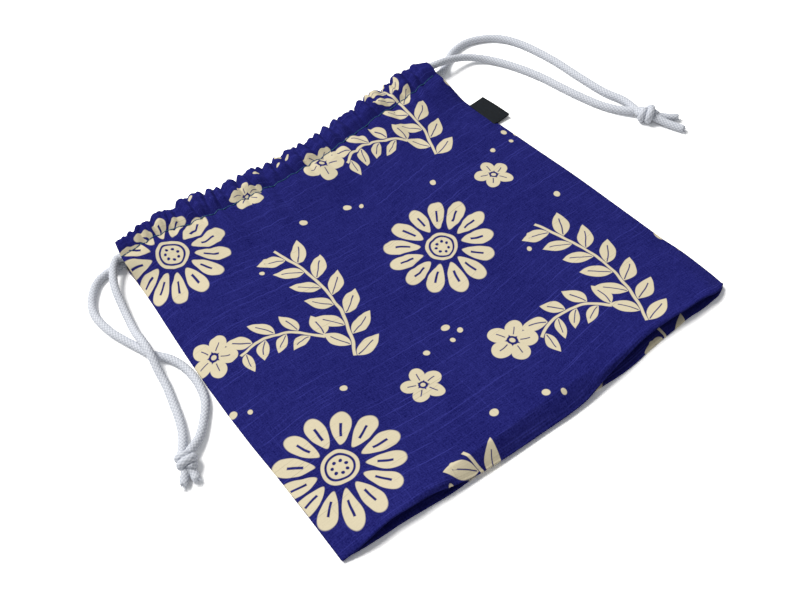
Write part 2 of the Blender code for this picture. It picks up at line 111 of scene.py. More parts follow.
HEM_END = 0.9143  # where the hems end, as a share of half the width
LEFT_SLIT, RIGHT_SLIT = 0.0190, 0.0250  # how far each side is open below the stitches, for the cords
HEM_RUN = 0.032  # over which the panel comes down from the stitches to its own height

# The base, by place across the bag: the front fold, the crest behind it, the back fold and the leaf over it
FRONT_FOLD_HEIGHT = ((-110, 1.56), (-104, 3.4), (-95, 6.0), (-82, 7.2), (-68, 7.0), (-59, 6.0), (-51, 4.2),
                     (-43, 3.0), (-30, 2.5), (8, 2.5), (18, 2.9), (26, 4.2), (34, 5.8), (46, 7.0),
                     (60, 7.3), (80, 7.3), (94, 7.0), (102, 5.6), (107, 4.0), (110, 2.7))
FRONT_FOLD_PLACE = ((-110, -108.3), (-103, -109.0), (-95, -109.0), (-85, -108.3), (-75, -109.0),
                    (-65, -109.5), (-57, -110.9), (-47, -112.4), (-34, -113.5), (-20, -114.1), (-4, -114.5),
                    (9, -114.9), (20, -114.4), (30, -112.6), (42, -110.9), (60, -108.3), (72, -108.2),
                    (86, -109.0), (97, -109.3), (103, -109.9), (107, -109.2), (110, -107.4))
CREST_PLACE = ((-110, -106.0), (-95, -105.5), (-80, -105.0), (-66, -105.0), (-54, -105.6), (-42, -106.4),
               (-27, -106.8), (-16, -106.5), (-6, -106.1), (4, -106.3), (15, -106.4), (28, -107.0),
               (42, -107.4), (60, -104.6), (80, -104.8), (95, -105.4), (110, -105.2))
BACK_FOLD_PLACE = ((-110, -107.0), (-103, -108.2), (-92, -109.1), (-80, -109.6), (-66, -110.9),
                   (-56, -111.8), (-40, -111.8), (0, -112.0), (20, -112.0), (30, -112.6), (42, -113.2),
                   (50, -112.9), (58, -111.9), (66, -111.1), (77, -110.6), (86, -110.0), (95, -110.4),
                   (102, -110.0), (107, -109.2), (110, -107.4))
BACK_LEAF_LIFT = ((-110, 0.0), (-90, 0.6), (-60, 0.5), (-40, 0.1), (20, 0.1), (40, 1.0), (75, 1.6),
                  (100, 0.5), (110, 0.0))
INNER_FOLD_Y = -0.074  # the tuck's inner fold, and its height in the middle
INNER_FOLD_HEIGHT = 0.0015
LEAF_LIFT_AT, LEAF_LIFT_RUN = 0.0075, 0.0055  # where the leaf over the back fold is lifted
ROLL_RUN = 0.0035  # how far behind the front fold the panel has rolled over to its full height
TURN_REACH, INNER_TURN_REACH = 0.0006, 0.0005  # how far the folds' turns reach
FRONT_TURN, INNER_TURN, BACK_TURN = 0.00045, 0.00035, 0.00031  # half the height of each turn

# Creases that the drawn cords press into the front: place, depth, half width, reach below the stitches, slant
FRONT_CREASES = (
    (-101.5, 0.60, 1.3, 10, 0.10), (-94.0, 0.95, 1.3, 16, 0.25), (-85.5, 0.80, 1.5, 22, 0.12),
    (-78.5, 0.70, 1.1, 12, -0.10), (-69.5, 1.10, 2.0, 36, 0.18), (-62.0, 0.70, 1.2, 14, 0.05),
    (-55.5, 1.15, 1.9, 34, -0.15), (-48.0, 0.85, 1.3, 22, 0.00), (-41.5, 0.90, 1.4, 26, 0.10),
    (-34.5, 1.15, 1.9, 40, -0.06), (-26.5, 0.75, 1.2, 14, 0.10), (-18.5, 1.10, 1.8, 30, -0.12),
    (-10.5, 0.70, 1.2, 16, 0.00), (-2.5, 0.90, 1.5, 28, 0.06), (6.0, 0.80, 1.3, 20, -0.08),
    (14.5, 0.95, 1.7, 34, 0.10), (24.0, 0.80, 1.3, 18, -0.05), (32.5, 1.00, 1.6, 38, 0.05),
    (41.0, 0.75, 1.3, 18, 0.12), (50.5, 1.00, 1.8, 44, -0.10), (61.5, 0.75, 1.4, 18, 0.06),
    (70.5, 1.00, 2.0, 52, -0.22), (81.5, 0.95, 1.5, 18, -0.10), (90.0, 1.20, 1.9, 32, -0.25),
    (98.0, 0.90, 1.5, 12, -0.10), (-72.0, 0.55, 4.5, 48, 0.10), (-44.0, 0.55, 4.0, 60, -0.05),
    (-14.0, 0.50, 4.5, 52, -0.12), (19.0, 0.50, 4.5, 46, 0.08), (46.0, 0.60, 5.0, 70, -0.12),
    (73.0, 0.75, 5.0, 80, -0.28),
)
FINE_CREASES = 46
BACK_CREASES = (
    (-97.0, 0.60, 2.4, 12, 0.0), (-85.0, 0.90, 2.6, 18, 0.1), (-72.0, 0.70, 2.4, 14, 0.0),
    (-60.0, 1.00, 2.8, 20, 0.0), (-46.0, 0.80, 2.6, 16, 0.1), (-34.5, 1.00, 2.6, 20, 0.0),
    (-21.0, 0.75, 2.4, 14, -0.1), (-9.5, 1.00, 2.8, 20, 0.0), (5.0, 0.80, 2.6, 16, 0.0),
    (17.0, 1.00, 2.6, 20, 0.1), (31.0, 0.70, 2.4, 14, 0.0), (43.0, 1.00, 2.8, 20, 0.0),
    (56.0, 0.80, 2.6, 16, -0.1), (69.5, 1.00, 2.6, 20, 0.0), (82.0, 0.75, 2.4, 14, 0.0),
    (94.0, 0.80, 2.6, 16, 0.0),
)
# Soft rises and dips of the empty front panel: place across, place along, radius across and along, height
PANEL_SWELLS = (
    (-52, 22, 34, 26, 0.7), (48, 40, 30, 24, 0.8), (4, -28, 40, 22, -0.6), (-70, -46, 26, 20, 0.6),
    (66, -38, 28, 24, -0.5), (22, -74, 36, 12, 0.7), (-24, -70, 24, 12, -0.4), (88, 8, 14, 40, 0.5),
    (-90, -4, 12, 34, -0.4), (101, -106, 8, 10, 2.4),
)
SIDE_RISES = ((-84, 6, 1.0), (-40, 9, -0.7), (2, 8, 0.8), (38, 7, -0.6), (62, 6, 0.7))

# How finely the cloth is drawn: columns across, and rows in each stretch of the strip
COLUMNS = 284
HEM_ROWS = 5
MOUTH_FOLD_ROWS = 10
CHANNEL_ROWS = 16
PANEL_ROWS = 74
BASE_FOLD_ROWS = 5
LEAF_ROWS = 8
INNER_FOLD_ROWS = 3
BACK_ROWS = 14
BACK_CHANNEL_ROWS = 7
BACK_HEM_ROWS = 8
# Row spacing down the front panel, by how far down the row is from 0 to 1
PANEL_SPACING = ((0.0, 1.0), (0.07, 1.7), (0.2, 3.2), (0.4, 6.0), (0.72, 6.0), (0.88, 2.8), (0.937, 1.1),
                 (0.955, 0.35), (0.965, 0.55), (0.98, 0.9), (1.0, 0.6))
CREST_AT = 0.955  # the row that follows the crest at the base

# Places along the strip of cloth where its stretches meet, measured from the middle of the front base fold
STRIP_PLACES = (0.2515, 0.2315, 0.222, 0.200, 0.0006, -0.0006, -0.035, -0.036, -0.0700, -0.0712, -0.2712,
                -0.2932, -0.3010, -0.3215)

# Drawstrings: points are out from the bag's side, past the mouth, and in cord diameters above the table
MOUTH_Y = 0.110
MOUTH_HALF = 0.105  # half the width at the mouth's start, for those points
NARROWING_RUN = 0.120  # over which the side narrows to it
TABLE_GAP = 0.0001
Drawstring = namedtuple("Drawstring", "name side knot_at towards wide fray seed front_loop back_loop tails")
LEFT_CORD = Drawstring(
    name="left", side=-1, knot_at=(0.0280, -0.1375, 0.52), towards=-104.0, wide=0.74, fray=0.0042, seed=11,
    front_loop=(
        (0.0236, -0.1245, 0.14), (0.0205, -0.1155, 0.00), (0.0184, -0.1048, 0.00), (0.0166, -0.0927, 0.05),
        (0.0162, -0.0841, 0.39), (0.0155, -0.0770, 0.93), (0.0153, -0.0710, 1.16), (0.0156, -0.0650, 1.07),
        (0.0161, -0.0575, 0.61), (0.0157, -0.0473, 0.20), (0.0149, -0.0373, 0.25), (0.0130, -0.0232, 0.75),
        (0.0101, -0.0155, 1.02), (0.0075, -0.0112, 1.11), (0.0040, -0.0084, 1.21), (-0.0005, -0.0098, 1.18),
    ),
    back_loop=(
        (0.0044, -0.0093, 0.14), (0.0107, -0.0086, 0.02), (0.0183, -0.0107, 0.00), (0.0257, -0.0197, 0.00),
        (0.0287, -0.0299, 0.00), (0.0266, -0.0438, 0.00), (0.0226, -0.0547, 0.00), (0.0190, -0.0627, 0.00),
        (0.0147, -0.0721, 0.00), (0.0087, -0.0799, 0.00), (0.0047, -0.0903, 0.00), (0.0038, -0.1029, 0.00),
        (0.0059, -0.1133, 0.00), (0.0111, -0.1216, 0.00), (0.0177, -0.1292, 0.14),
    ),
    tails=(
        ((0.0286, -0.1410, 0.30), (0.0284, -0.1442, 0.10), (0.0290, -0.1474, 0.00)),
        ((0.0306, -0.1404, 0.30), (0.0328, -0.1432, 0.10), (0.0346, -0.1460, 0.00)),
    ),
)
RIGHT_CORD = Drawstring(
    name="right", side=1, knot_at=(0.0598, -0.1095, 0.52), towards=-62.0, wide=0.84, fray=0.0022, seed=23,
    front_loop=(
        (0.0538, -0.0965, 0.14), (0.0496, -0.0866, 0.00), (0.0463, -0.0705, 0.00), (0.0448, -0.0573, 0.00),
        (0.0433, -0.0427, 0.00), (0.0399, -0.0274, 0.00), (0.0362, -0.0170, 0.00), (0.0313, -0.0083, 0.09),
        (0.0245, -0.0024, 0.43), (0.0175, -0.0002, 0.89), (0.0100, 0.0004, 1.38), (0.0030, 0.0006, 1.66),
    ),
    back_loop=(
        (0.0050, 0.0000, 0.11), (0.0121, 0.0049, 0.02), (0.0216, 0.0106, 0.00), (0.0337, 0.0122, 0.00),
        (0.0460, 0.0062, 0.00), (0.0526, -0.0020, 0.00), (0.0565, -0.0132, 0.00), (0.0590, -0.0365, 0.00),
        (0.0584, -0.0580, 0.00), (0.0584, -0.0777, 0.00), (0.0602, -0.0912, 0.09),
    ),
    tails=(
        ((0.0625, -0.1124, 0.34), (0.0664, -0.1164, 0.09), (0.0714, -0.1208, 0.00)),
        ((0.0610, -0.1136, 0.34), (0.0636, -0.1210, 0.07), (0.0669, -0.1296, 0.00)),
    ),
)
# Knots: towards and wide are the way the tails point, in degrees, and the turns' reach, in cord diameters
KNOT_TURNS = 2.05
INTO_KNOT, APART_IN_KNOT = 0.0035, 0.0016  # a cord's ends: before the knot's middle, and to each side of it

# Where each cord lies inside its channels: the left one along the stitches, the right one along the mouth
FROM_STITCHES = 0.0063
FROM_MOUTH_EDGE = 0.0050
NEAR_END, FAR_END = 0.098, 0.090
STRAND_STEP = 0.009
CORD_HEIGHT_IN_CHANNEL = 0.00265

# Braid
BRAID_STRANDS = 7  # each way round
BRAID_PICK = 0.0021  # length of one pick
BRAID_GROOVE = 0.00032  # depth of the grooves between the strands
EVEN_HEIGHT = 0.62  # between groove and strand, where the cord is hidden
RING_STEP = 0.00027
HIDDEN_RING_STEP = 0.0024
RING_SIDES = 32
FIBRE_RINGS, FIBRE_SIDES = 5, 4
# How far into the braid's painted groove shade the loose fibres are coloured
FIBRE_GROOVE = 0.15

# Thread: front and back lift are over the cloth's middle surface
THREAD_RADIUS = 0.00027
STITCH_GAP = 0.00020
FRONT_THREAD_LIFT, BACK_THREAD_LIFT = 0.00044, -0.00023
LINE_END = 0.0006  # from the side to the first stitch

# Label
TAPE = 0.00038
LABEL_FOLD = 0.00035  # half the fold's height
LABEL_HEIGHT = 0.00150  # the middle of the fold
LABEL_SHORT = 0.0009  # how far it stays inside the solid's outer face
LABEL_SLANT, LABEL_RISE, LABEL_BULGE = 0.085, 0.0009, 0.00035  # at its outer end

# Stage
FLOOR_SIZE = 4.0
LAMP_AT = (-0.62, 1.30, 2.30)
LAMP_AIM = (0.22, -0.32, 0.0)
LAMP_WIDTH = 1.60
LAMP_COLOUR = (1.0, 0.985, 0.96)
FILL_COLOUR = (0.97, 0.985, 1.0)  # of the even light from all round
WHITE = (1.0, 1.0, 1.0)


def ease(t):
    """0 before t = 0, 1 after t = 1, and a smooth step between."""
    t = np.clip(t, 0.0, 1.0)
    return t * t * (3 - 2 * t)


def between(a, b, t):
    return a + (b - a) * t


def bell(t):
    return np.exp(-t * t)


def through(points):
    """A smooth function of x through given (x, value) pairs in millimetres, in metres."""
    at, value = np.array(points, float).T * MM
    slope = np.gradient(value, at)

    def evaluate(x):
        x = np.clip(x, at[0], at[-1])
        i = np.clip(np.searchsorted(at, x) - 1, 0, len(at) - 2)
        h = at[i + 1] - at[i]
        t = (x - at[i]) / h
        start = (1 + 2 * t) * (1 - t) ** 2 * value[i] + t * (1 - t) ** 2 * h * slope[i]
        return start + t * t * (3 - 2 * t) * value[i + 1] + t * t * (t - 1) * h * slope[i + 1]

    return evaluate


def rows(count):
    """Even places from 0 to 1 for the rows of a stretch, and one more."""
    return np.linspace(0, 1, count + 1)[None, :]


def spread(count, spacings):
    """Places from 0 to 1 for rows, whose spacing follows (place, spacing) pairs."""
    fine = np.linspace(0, 1, 600)
    passed = np.concatenate([[0.0], np.cumsum(1 / np.interp(fine[1:], *zip(*spacings)))])
    return np.interp(np.linspace(0, passed[-1], count + 1), passed, fine)


LEFT_OF, RIGHT_OF = through(LEFT_EDGE), through(RIGHT_EDGE)
SEAM_F, MOUTH_F = through(FRONT_SEAM), through(FRONT_MOUTH)
SEAM_B, MOUTH_B = through(BACK_SEAM), through(BACK_MOUTH)
PANEL_Z = through(PANEL_HEIGHT)
FOLD_Z, FOLD_Y, CREST_Y = through(FRONT_FOLD_HEIGHT), through(FRONT_FOLD_PLACE), through(CREST_PLACE)
BACK_FOLD_Y, LEAF_LIFT = through(BACK_FOLD_PLACE), through(BACK_LEAF_LIFT)
PANEL_PLACES = spread(PANEL_ROWS, PANEL_SPACING)


def across(u, y):
    """X at u, from -1 at the bag's left edge to 1 at its right edge, at height y up the bag."""
    left, right = LEFT_OF(y), RIGHT_OF(y)
    return between(left, right, (u + 1) / 2)


def crown(u):
    """How far the front has risen from the sewn side: quickly at the seam, then gently."""
    inwards = (1 - np.abs(u)) * HALF_WIDTH
    return 0.45 * (1 - (1 - np.clip(inwards / 0.011, 0, 1)) ** 2) + 0.55 * ease(inwards / 0.042)


def fine_creases(seed):
    """Small creases between the chosen ones, as a table of the same kind."""
    draw = np.random.default_rng(seed)
    at = np.linspace(-104, 101, FINE_CREASES) + draw.uniform(-1.2, 1.2, FINE_CREASES)
    ranges = ((0.22, 0.55), (0.75, 1.05), (4, 11), (-0.2, 0.2))
    return tuple((a, *(draw.uniform(low, high) for low, high in ranges)) for a in at)


FRONT_GATHERS = FRONT_CREASES + fine_creases(seed=5)


def sunk(x, below, table):
    """How far the cloth sinks in its creases, 0 on a ridge to about 1 in the deepest.

    below is the distance below the stitch line, negative in the channel.
    """
    depth_here = np.zeros(np.broadcast(x, below).shape)
    for at, depth, half, reach, slant in table:
        run = np.clip(below / (reach * MM), 0, 1)
        middle = np.abs(x - at * MM - slant * below) / (half * MM * (1 + 1.3 * run))
        valley = np.exp(-middle ** 1.5) - 0.22 * bell((middle - 2.3) / 0.9)
        depth_here += depth * (1 - run) ** 1.4 * valley
    return depth_here


def swells(x, y):
    """How far the soft rises and dips lift the front panel."""
    height = np.zeros(np.broadcast(x, y).shape)
    for at_x, at_y, wide, long, rise in PANEL_SWELLS:
        height += rise * MM * bell((x - at_x * MM) / (wide * MM)) * bell((y - at_y * MM) / (long * MM))
    return height


def hem_height(u):
    """Mid height of the front channel's inner layer."""
    return CHANNEL_STEP + CLOTH_THICKNESS + between(0.0012, MOUTH_GAP, crown(u))


def channel_rise(from_stitches):
    """How far a channel's outer layer has risen over its cord, 0 at the stitches to 1."""
    return 1 - (1 - np.clip(from_stitches / CHANNEL_RISE, 0, 1)) ** 1.3


def arc(y, z, reach, half, side, start, count):
    """A half turn of cloth about (y, z): the places along it from 0 to 1, and its points' y and height.

    It reaches out along side * Y and is 2 * half high. It runs from its top (start 1) or its bottom (-1).
    """
    t = rows(count)
    return t, y + side * reach * np.sin(math.pi * t), z + start * half * np.cos(math.pi * t)


def strip_stretches(u, gather):
    """The folded strip of cloth at the stations u, as stretches of (y, height, place along the strip).

    Each is an array of stations by rows. They run from the front hem's raw edge to the back hem's.
    """
    x = u * HALF_WIDTH
    stretches = []

    def add(t, y, z):
        start, end = STRIP_PLACES[len(stretches):len(stretches) + 2]
        stretches.append((y, z, between(start, end, t)))

    # Front hem, mouth and channel
    hem = hem_height(u)
    at_seam = gather * sunk(x, 0.0, FRONT_GATHERS)
    at_mouth = gather * sunk(x, MOUTH_BELOW, FRONT_GATHERS)
    seam = SEAM_F(x) - SEAM_GIVE * at_seam
    mouth = MOUTH_F(x) - MOUTH_GIVE * at_mouth
    fold_y = mouth - CLOTH_THICKNESS / 2 - MOUTH_FOLD
    t = rows(HEM_ROWS)
    y = between(seam - HEM_ALLOWANCE, fold_y, t)
    pressed = PRESSED * at_seam * ease((seam + 0.004 - y) / 0.004)
    add(t, y, hem + STITCH_LIFT * (1 - ease((y - seam) / 0.0045)) - pressed)

    t, y, z = arc(fold_y, hem + CHANNEL_STEP / 2, MOUTH_FOLD, CHANNEL_STEP / 2, 1, -1, MOUTH_FOLD_ROWS)
    add(t, y, z + RIDGE * (1 - at_mouth) * (z - hem) / CHANNEL_STEP)

    t = rows(CHANNEL_ROWS)
    y = between(fold_y, seam, t)
    crest = np.maximum(RIDGE * (1 - gather * sunk(x, seam - y, FRONT_GATHERS)), -0.0001)
    between_cords = (seam + mouth + FROM_STITCHES - FROM_MOUTH_EDGE) / 2
    full = CHANNEL_STEP + crest - CORD_DIP * bell((y - between_cords) / CORD_DIP_RUN)
    add(t, y, hem + between(LAYER_STEP + STITCH_LIFT - PRESSED * at_seam, full, channel_rise(y - seam)))

    # Front panel, and the base's tuck with its three folds
    place = PANEL_PLACES[None, :]
    front_y, crest_y, fold_z = FOLD_Y(x), CREST_Y(x), FOLD_Z(x)
    to_crest, to_fold = place / CREST_AT, (place - CREST_AT) / (1 - CREST_AT)
    y = np.where(place < CREST_AT, between(seam, crest_y, to_crest), between(crest_y, front_y, to_fold))
    add((seam - y) / (seam - front_y), y, front_height(u, x, y, seam, gather))
    add(*arc(front_y, fold_z - FRONT_TURN, TURN_REACH, FRONT_TURN, -1, 1, BASE_FOLD_ROWS))

    t = rows(LEAF_ROWS)
    y = between(front_y, INNER_FOLD_Y, t)
    inner_z = between(2 * SIDE_LAYER, INNER_FOLD_HEIGHT, crown(u))
    under_front = front_height(u, x, y, seam, gather) - LAYER_STEP
    add(t, y, np.minimum(between(inner_z, fold_z - 2 * FRONT_TURN, (1 - t) ** 1.7), under_front))
    add(*arc(INNER_FOLD_Y + 0 * u, inner_z - INNER_TURN, INNER_TURN_REACH, INNER_TURN, 1, 1, INNER_FOLD_ROWS))

    back_y = BACK_FOLD_Y(x)
    t = rows(LEAF_ROWS) ** 0.8
    y = between(INNER_FOLD_Y, back_y, t)
    lift = LEAF_LIFT(x) * bell((y - back_y - LEAF_LIFT_AT) / LEAF_LIFT_RUN)
    add(t, y, between(inner_z - 2 * INNER_TURN, 2 * BACK_TURN, ease(t)) + lift)
    add(*arc(back_y, BACK_TURN + 0 * u, TURN_REACH, BACK_TURN, -1, 1, BASE_FOLD_ROWS))

    # Back panel, channel, mouth and hem
    seam_b = SEAM_B(x)
    mouth_b = MOUTH_B(x) - BACK_MOUTH_GIVE * gather * sunk(x, MOUTH_BELOW, BACK_CREASES)
    fold_b = mouth_b - CLOTH_THICKNESS / 2 - MOUTH_FOLD

    def back_height(y):
        pucker = PRESSED * gather * sunk(x, seam_b - y, BACK_CREASES) * ease((seam_b - y) / PRESSED_RUN + 1)
        return np.maximum(0.0, pucker) + STITCH_RIDGE * bell((y - seam_b) / STITCH_RIDGE_RUN)

    t = 1 - (1 - rows(BACK_ROWS)) ** 1.8
    y = between(back_y, seam_b, t)
    add(t, y, back_height(y))

    t = rows(BACK_CHANNEL_ROWS)
    y = between(seam_b, fold_b, t)
    add(t, y, back_height(y))
    add(*arc(fold_b, CHANNEL_STEP / 2 + 0 * u, MOUTH_FOLD, CHANNEL_STEP / 2, 1, -1, MOUTH_FOLD_ROWS))

    t = rows(BACK_HEM_ROWS)
    y = between(fold_b, seam_b - HEM_ALLOWANCE, t)
    creased = np.maximum(0.0, gather * sunk(x, 0.0, BACK_CREASES))
    pressed = PRESSED * creased * ease((seam_b - y) / PRESSED_RUN + 1)
    add(t, y, between(LAYER_STEP + 0.0003 + pressed, CHANNEL_STEP, channel_rise(y - seam_b)))
    return stretches


def front_height(u, x, y, seam, gather):
    """Mid height of the front panel, from its stitch line to its fold at the base."""
    below = seam - y
    sides = between(3 * SIDE_LAYER, SIDE_LAYER, ease((y + 0.080) / 0.012))
    ripple = sum(rise * MM * bell((y - at * MM) / (long * MM)) for at, long, rise in SIDE_RISES)
    rim = bell((1 - np.abs(u)) * HALF_WIDTH / 0.012) - bell((1 - np.abs(u)) * HALF_WIDTH / 0.003)
    raised = crown(u)
    middle = PANEL_Z(y) + swells(x, y)
    body = between(sides, middle, raised) + 0.5 * ripple * rim
    slit = between(LEFT_SLIT, RIGHT_SLIT, (u + 1) / 2)
    to_hem = ease((slit - below) / (slit - 0.0015))
    stitched = hem_height(u) + LAYER_STEP + STITCH_LIFT
    body = between(body, stitched, between(to_hem, ease(1 - below / HEM_RUN), raised))
    depth = between(0.0006, 0.0013, ease(below / 0.005)) * between(1, raised, ease(below / 0.012))
    crease = -depth * gather * sunk(x, below, FRONT_GATHERS)
    pout = 0.0003 * bell((below - 0.0045) / 0.0030) * raised
    fold_y, fold_z = FOLD_Y(x), FOLD_Z(x)
    rolled = np.sqrt(1 - (1 - np.clip((y - fold_y) / ROLL_RUN, 0, 1)) ** 2.4)
    sloped = 1 - (1 - np.clip((y - fold_y) / (CREST_Y(x) - fold_y), 0, 1)) ** 1.05
    hanging = ease((0.0066 - fold_z) / 0.0030) * raised
    return between(fold_z, body + crease + pout, between(rolled, sloped, hanging))


def select_only(*pieces):
    """Deselects everything, then selects these pieces and makes the first one active."""
    if bpy.context.object and bpy.context.object.mode != "OBJECT":
        bpy.ops.object.mode_set(mode="OBJECT")
    bpy.ops.object.select_all(action="DESELECT")
    for piece in pieces:
        piece.select_set(True)
    if pieces:
        bpy.context.view_layer.objects.active = pieces[0]


def thicken(piece, thickness):
    """Gives a piece its wall, half on each side of its surface."""
    wall = piece.modifiers.new("thickness", "SOLIDIFY")
    wall.thickness = thickness
    wall.offset = 0.0
    return wall


def apply_modifiers(piece):
    select_only(piece)
    for modifier in list(piece.modifiers):
        bpy.ops.object.modifier_apply(modifier=modifier.name)


def new_piece(name, points, faces, uvs):
    """A smooth mesh piece at the origin. uvs is a place for each point, in metres."""
    mesh = bpy.data.meshes.new(name)
    mesh.from_pydata([tuple(p) for p in points], [], faces)
    layer = mesh.uv_layers.new(name="surface")
    corners = np.zeros(len(mesh.loops), np.int32)
    mesh.loops.foreach_get("vertex_index", corners)
    layer.data.foreach_set("uv", np.asarray(uvs, np.float32)[corners].ravel())
    mesh.polygons.foreach_set("use_smooth", np.ones(len(mesh.polygons), bool))
    mesh.update()
    piece = bpy.data.objects.new(name, mesh)
    bpy.context.scene.collection.objects.link(piece)
    return piece


def distances(line):
    """How far along a line each of its points is."""
    return np.concatenate([[0.0], np.cumsum(np.linalg.norm(np.diff(line, axis=0), axis=1))])


def points_at(places, along, line):
    """The points of a line at these distances along it."""
    return np.column_stack([np.interp(places, along, line[:, k]) for k in range(3)])


def cloth_grid(gathers):
    """The cloth's middle surface: stations, points and strip places, by station and row."""
    u = np.linspace(-1, 1, COLUMNS + 1)[:, None]
    stretches = strip_stretches(u, gathers)
    joined_up = []
    for number, stretch in enumerate(stretches):
        wide = (COLUMNS + 1, stretch[0].shape[1])
        joined_up.append([np.broadcast_to(part, wide)[:, min(number, 1):] for part in stretch])
    y, z, strip = (np.hstack(parts) for parts in zip(*joined_up))
    x = across(np.broadcast_to(u, y.shape), y)
    return u, np.stack([x, y, z + CLOTH_THICKNESS / 2], axis=2), strip


def math_node(operation):
    """A method of Socket that adds one Math node."""
    return lambda socket, *others: socket.math(operation, socket, *others)


class Socket:
    """A node's output that takes part in Python expressions, which add Math nodes to its material."""

    def __init__(self, nodes, output):
        self.nodes = nodes
        self.output = output

    def math(self, operation, *values, clamp=False):
        return self.nodes.add("ShaderNodeMath", {"operation": operation, "use_clamp": clamp}, *values)

    __add__ = __radd__ = math_node("ADD")
    __mul__ = __rmul__ = math_node("MULTIPLY")
    __sub__, __truediv__, __pow__ = math_node("SUBTRACT"), math_node("DIVIDE"), math_node("POWER")
    __abs__ = math_node("ABSOLUTE")
    least, most = math_node("MINIMUM"), math_node("MAXIMUM")
    floor, fract, root = math_node("FLOOR"), math_node("FRACT"), math_node("SQRT")
    sine, cosine = math_node("SINE"), math_node("COSINE")

    def __rsub__(self, other):
        return self.math("SUBTRACT", other, self)

    def __rtruediv__(self, other):
        return self.math("DIVIDE", other, self)

    def __neg__(self):
        return self * -1.0

    def inside(self, soft):
        """1 where this distance is below zero, over a soft edge."""
        return self.math("MULTIPLY_ADD", self, -1.0 / soft, 0.5, clamp=True)

    def step(self, low, high):
        """0 below low, 1 above high and a straight rise between."""
        return self.math("MULTIPLY_ADD", self, 1 / (high - low), -low / (high - low), clamp=True)


class Nodes:
    """The nodes of a material, or of the world."""

    def __init__(self, owner):
        owner.use_nodes = True
        self.owner = owner
        self.tree = owner.node_tree

    def add(self, kind, settings, *values, output=0, **named):
        """A node of that kind with its settings, then its sockets' values or links. Returns one output."""
        node = self.tree.nodes.new(kind)
        for key, value in settings.items():
            setattr(node, key, value)
        for number, value in enumerate(values):
            self.feed(node.inputs[number], value)
        self.feed_named(node, named)
        return Socket(self, node.outputs[output])

    def feed(self, socket, value):
        if isinstance(value, Socket):
            self.tree.links.new(value.output, socket)
        elif value is not None:
            socket.default_value = (*value, 1.0) if socket.type == "RGBA" else value

    def feed_named(self, node, named):
        for key, value in named.items():
            self.feed(node.inputs[key.replace("_", " ")], value)

    def finish(self, **sockets):
        """Sets or links sockets of the Principled shader."""
        self.feed_named(self.tree.nodes["Principled BSDF"], sockets)
        return self.owner

    def show(self, shader):
        """Puts a shader in the place of the usual one."""
        end = next(node for node in self.tree.nodes if node.type in ("OUTPUT_MATERIAL", "OUTPUT_WORLD"))
        self.tree.nodes.remove(end.inputs["Surface"].links[0].from_node)
        self.feed(end.inputs["Surface"], shader)
        return self.owner

    def split(self, vector):
        first = self.add("ShaderNodeSeparateXYZ", {}, vector)
        return [Socket(self, output) for output in first.output.node.outputs]

    def uv(self):
        """The piece's own UV map, as two values in metres."""
        return self.split(self.add("ShaderNodeUVMap", {"uv_map": "surface"}))[:2]

    def place(self):
        """The place on the object, as three values in metres."""
        return self.split(self.add("ShaderNodeTexCoord", {}, output="Object"))

    def ray(self, kind):
        return self.add("ShaderNodeLightPath", {}, output=kind)

    def vector(self, x, y, z=0.0):
        return self.add("ShaderNodeCombineXYZ", {}, x, y, z)

    def noise(self, vector, scale, detail=2.0, output="Fac"):
        return self.add("ShaderNodeTexNoise", {}, output=output, Vector=vector, Scale=scale, Detail=detail)

    def flicker(self, place, scale=1.0, detail=2.0):
        """Noise from about -0.5 to 0.5, at a place given as two or three values."""
        return self.noise(self.vector(*place), scale, detail=detail) - 0.5

    def mix(self, factor, a, b):
        """A colour between a and b."""
        unused = [None] * 5
        kind = {"data_type": "RGBA", "clamp_factor": True}
        return self.add("ShaderNodeMix", kind, factor, *unused, a, b, output=2)

    def bump(self, height, strength, distance):
        return self.add("ShaderNodeBump", {}, Strength=strength, Distance=distance, Height=height)

    def length(self, a, b):
        return (a * a + b * b).root()

    def angle(self, y, x):
        return y.math("ARCTAN2", y, x)


def near_whole(value):
    """How far value is from the nearest whole number, from -0.5 to 0.5."""
    return (value + 0.5).fract() - 0.5


# The distance over which the weave repeats
THREAD_PAIR = 0.00062

# The print, in millimetres: its repeat is a tile, and each second column of tiles drops by half a tile
TILE = (112.0, 152.0)
PRINT_SHIFT = (14.0, 2.0)
PRINT_WANDER = 2.6
PRINT_EDGE = 0.16


def daisy(n, x, y, petals, inner, outer, eye, wander):
    """Distance to a round flower with separate petals, and to the lines and dots left bare in it."""
    r = n.length(x, y)
    turn = n.angle(y, x)
    reach = outer + (turn * 3.0 + wander).sine() * (0.035 * outer)
    q = near_whole(turn * (petals / TURN)) * (TURN / petals)
    side = r * q
    middle, half = (reach + inner) * 0.5, (reach - inner) * 0.5
    wide = math.pi / petals * 0.84
    body = (n.length((r - middle) / half, side / (r * wide + 0.01)) - 1.0) * (outer * wide * 0.7)
    thick = 0.102 * outer * wide
    vein = (abs(side) - thick).most(r - middle - half * 0.35).most(middle - half * 0.45 - r)
    disc = r - eye
    return body, vein, disc, r, turn


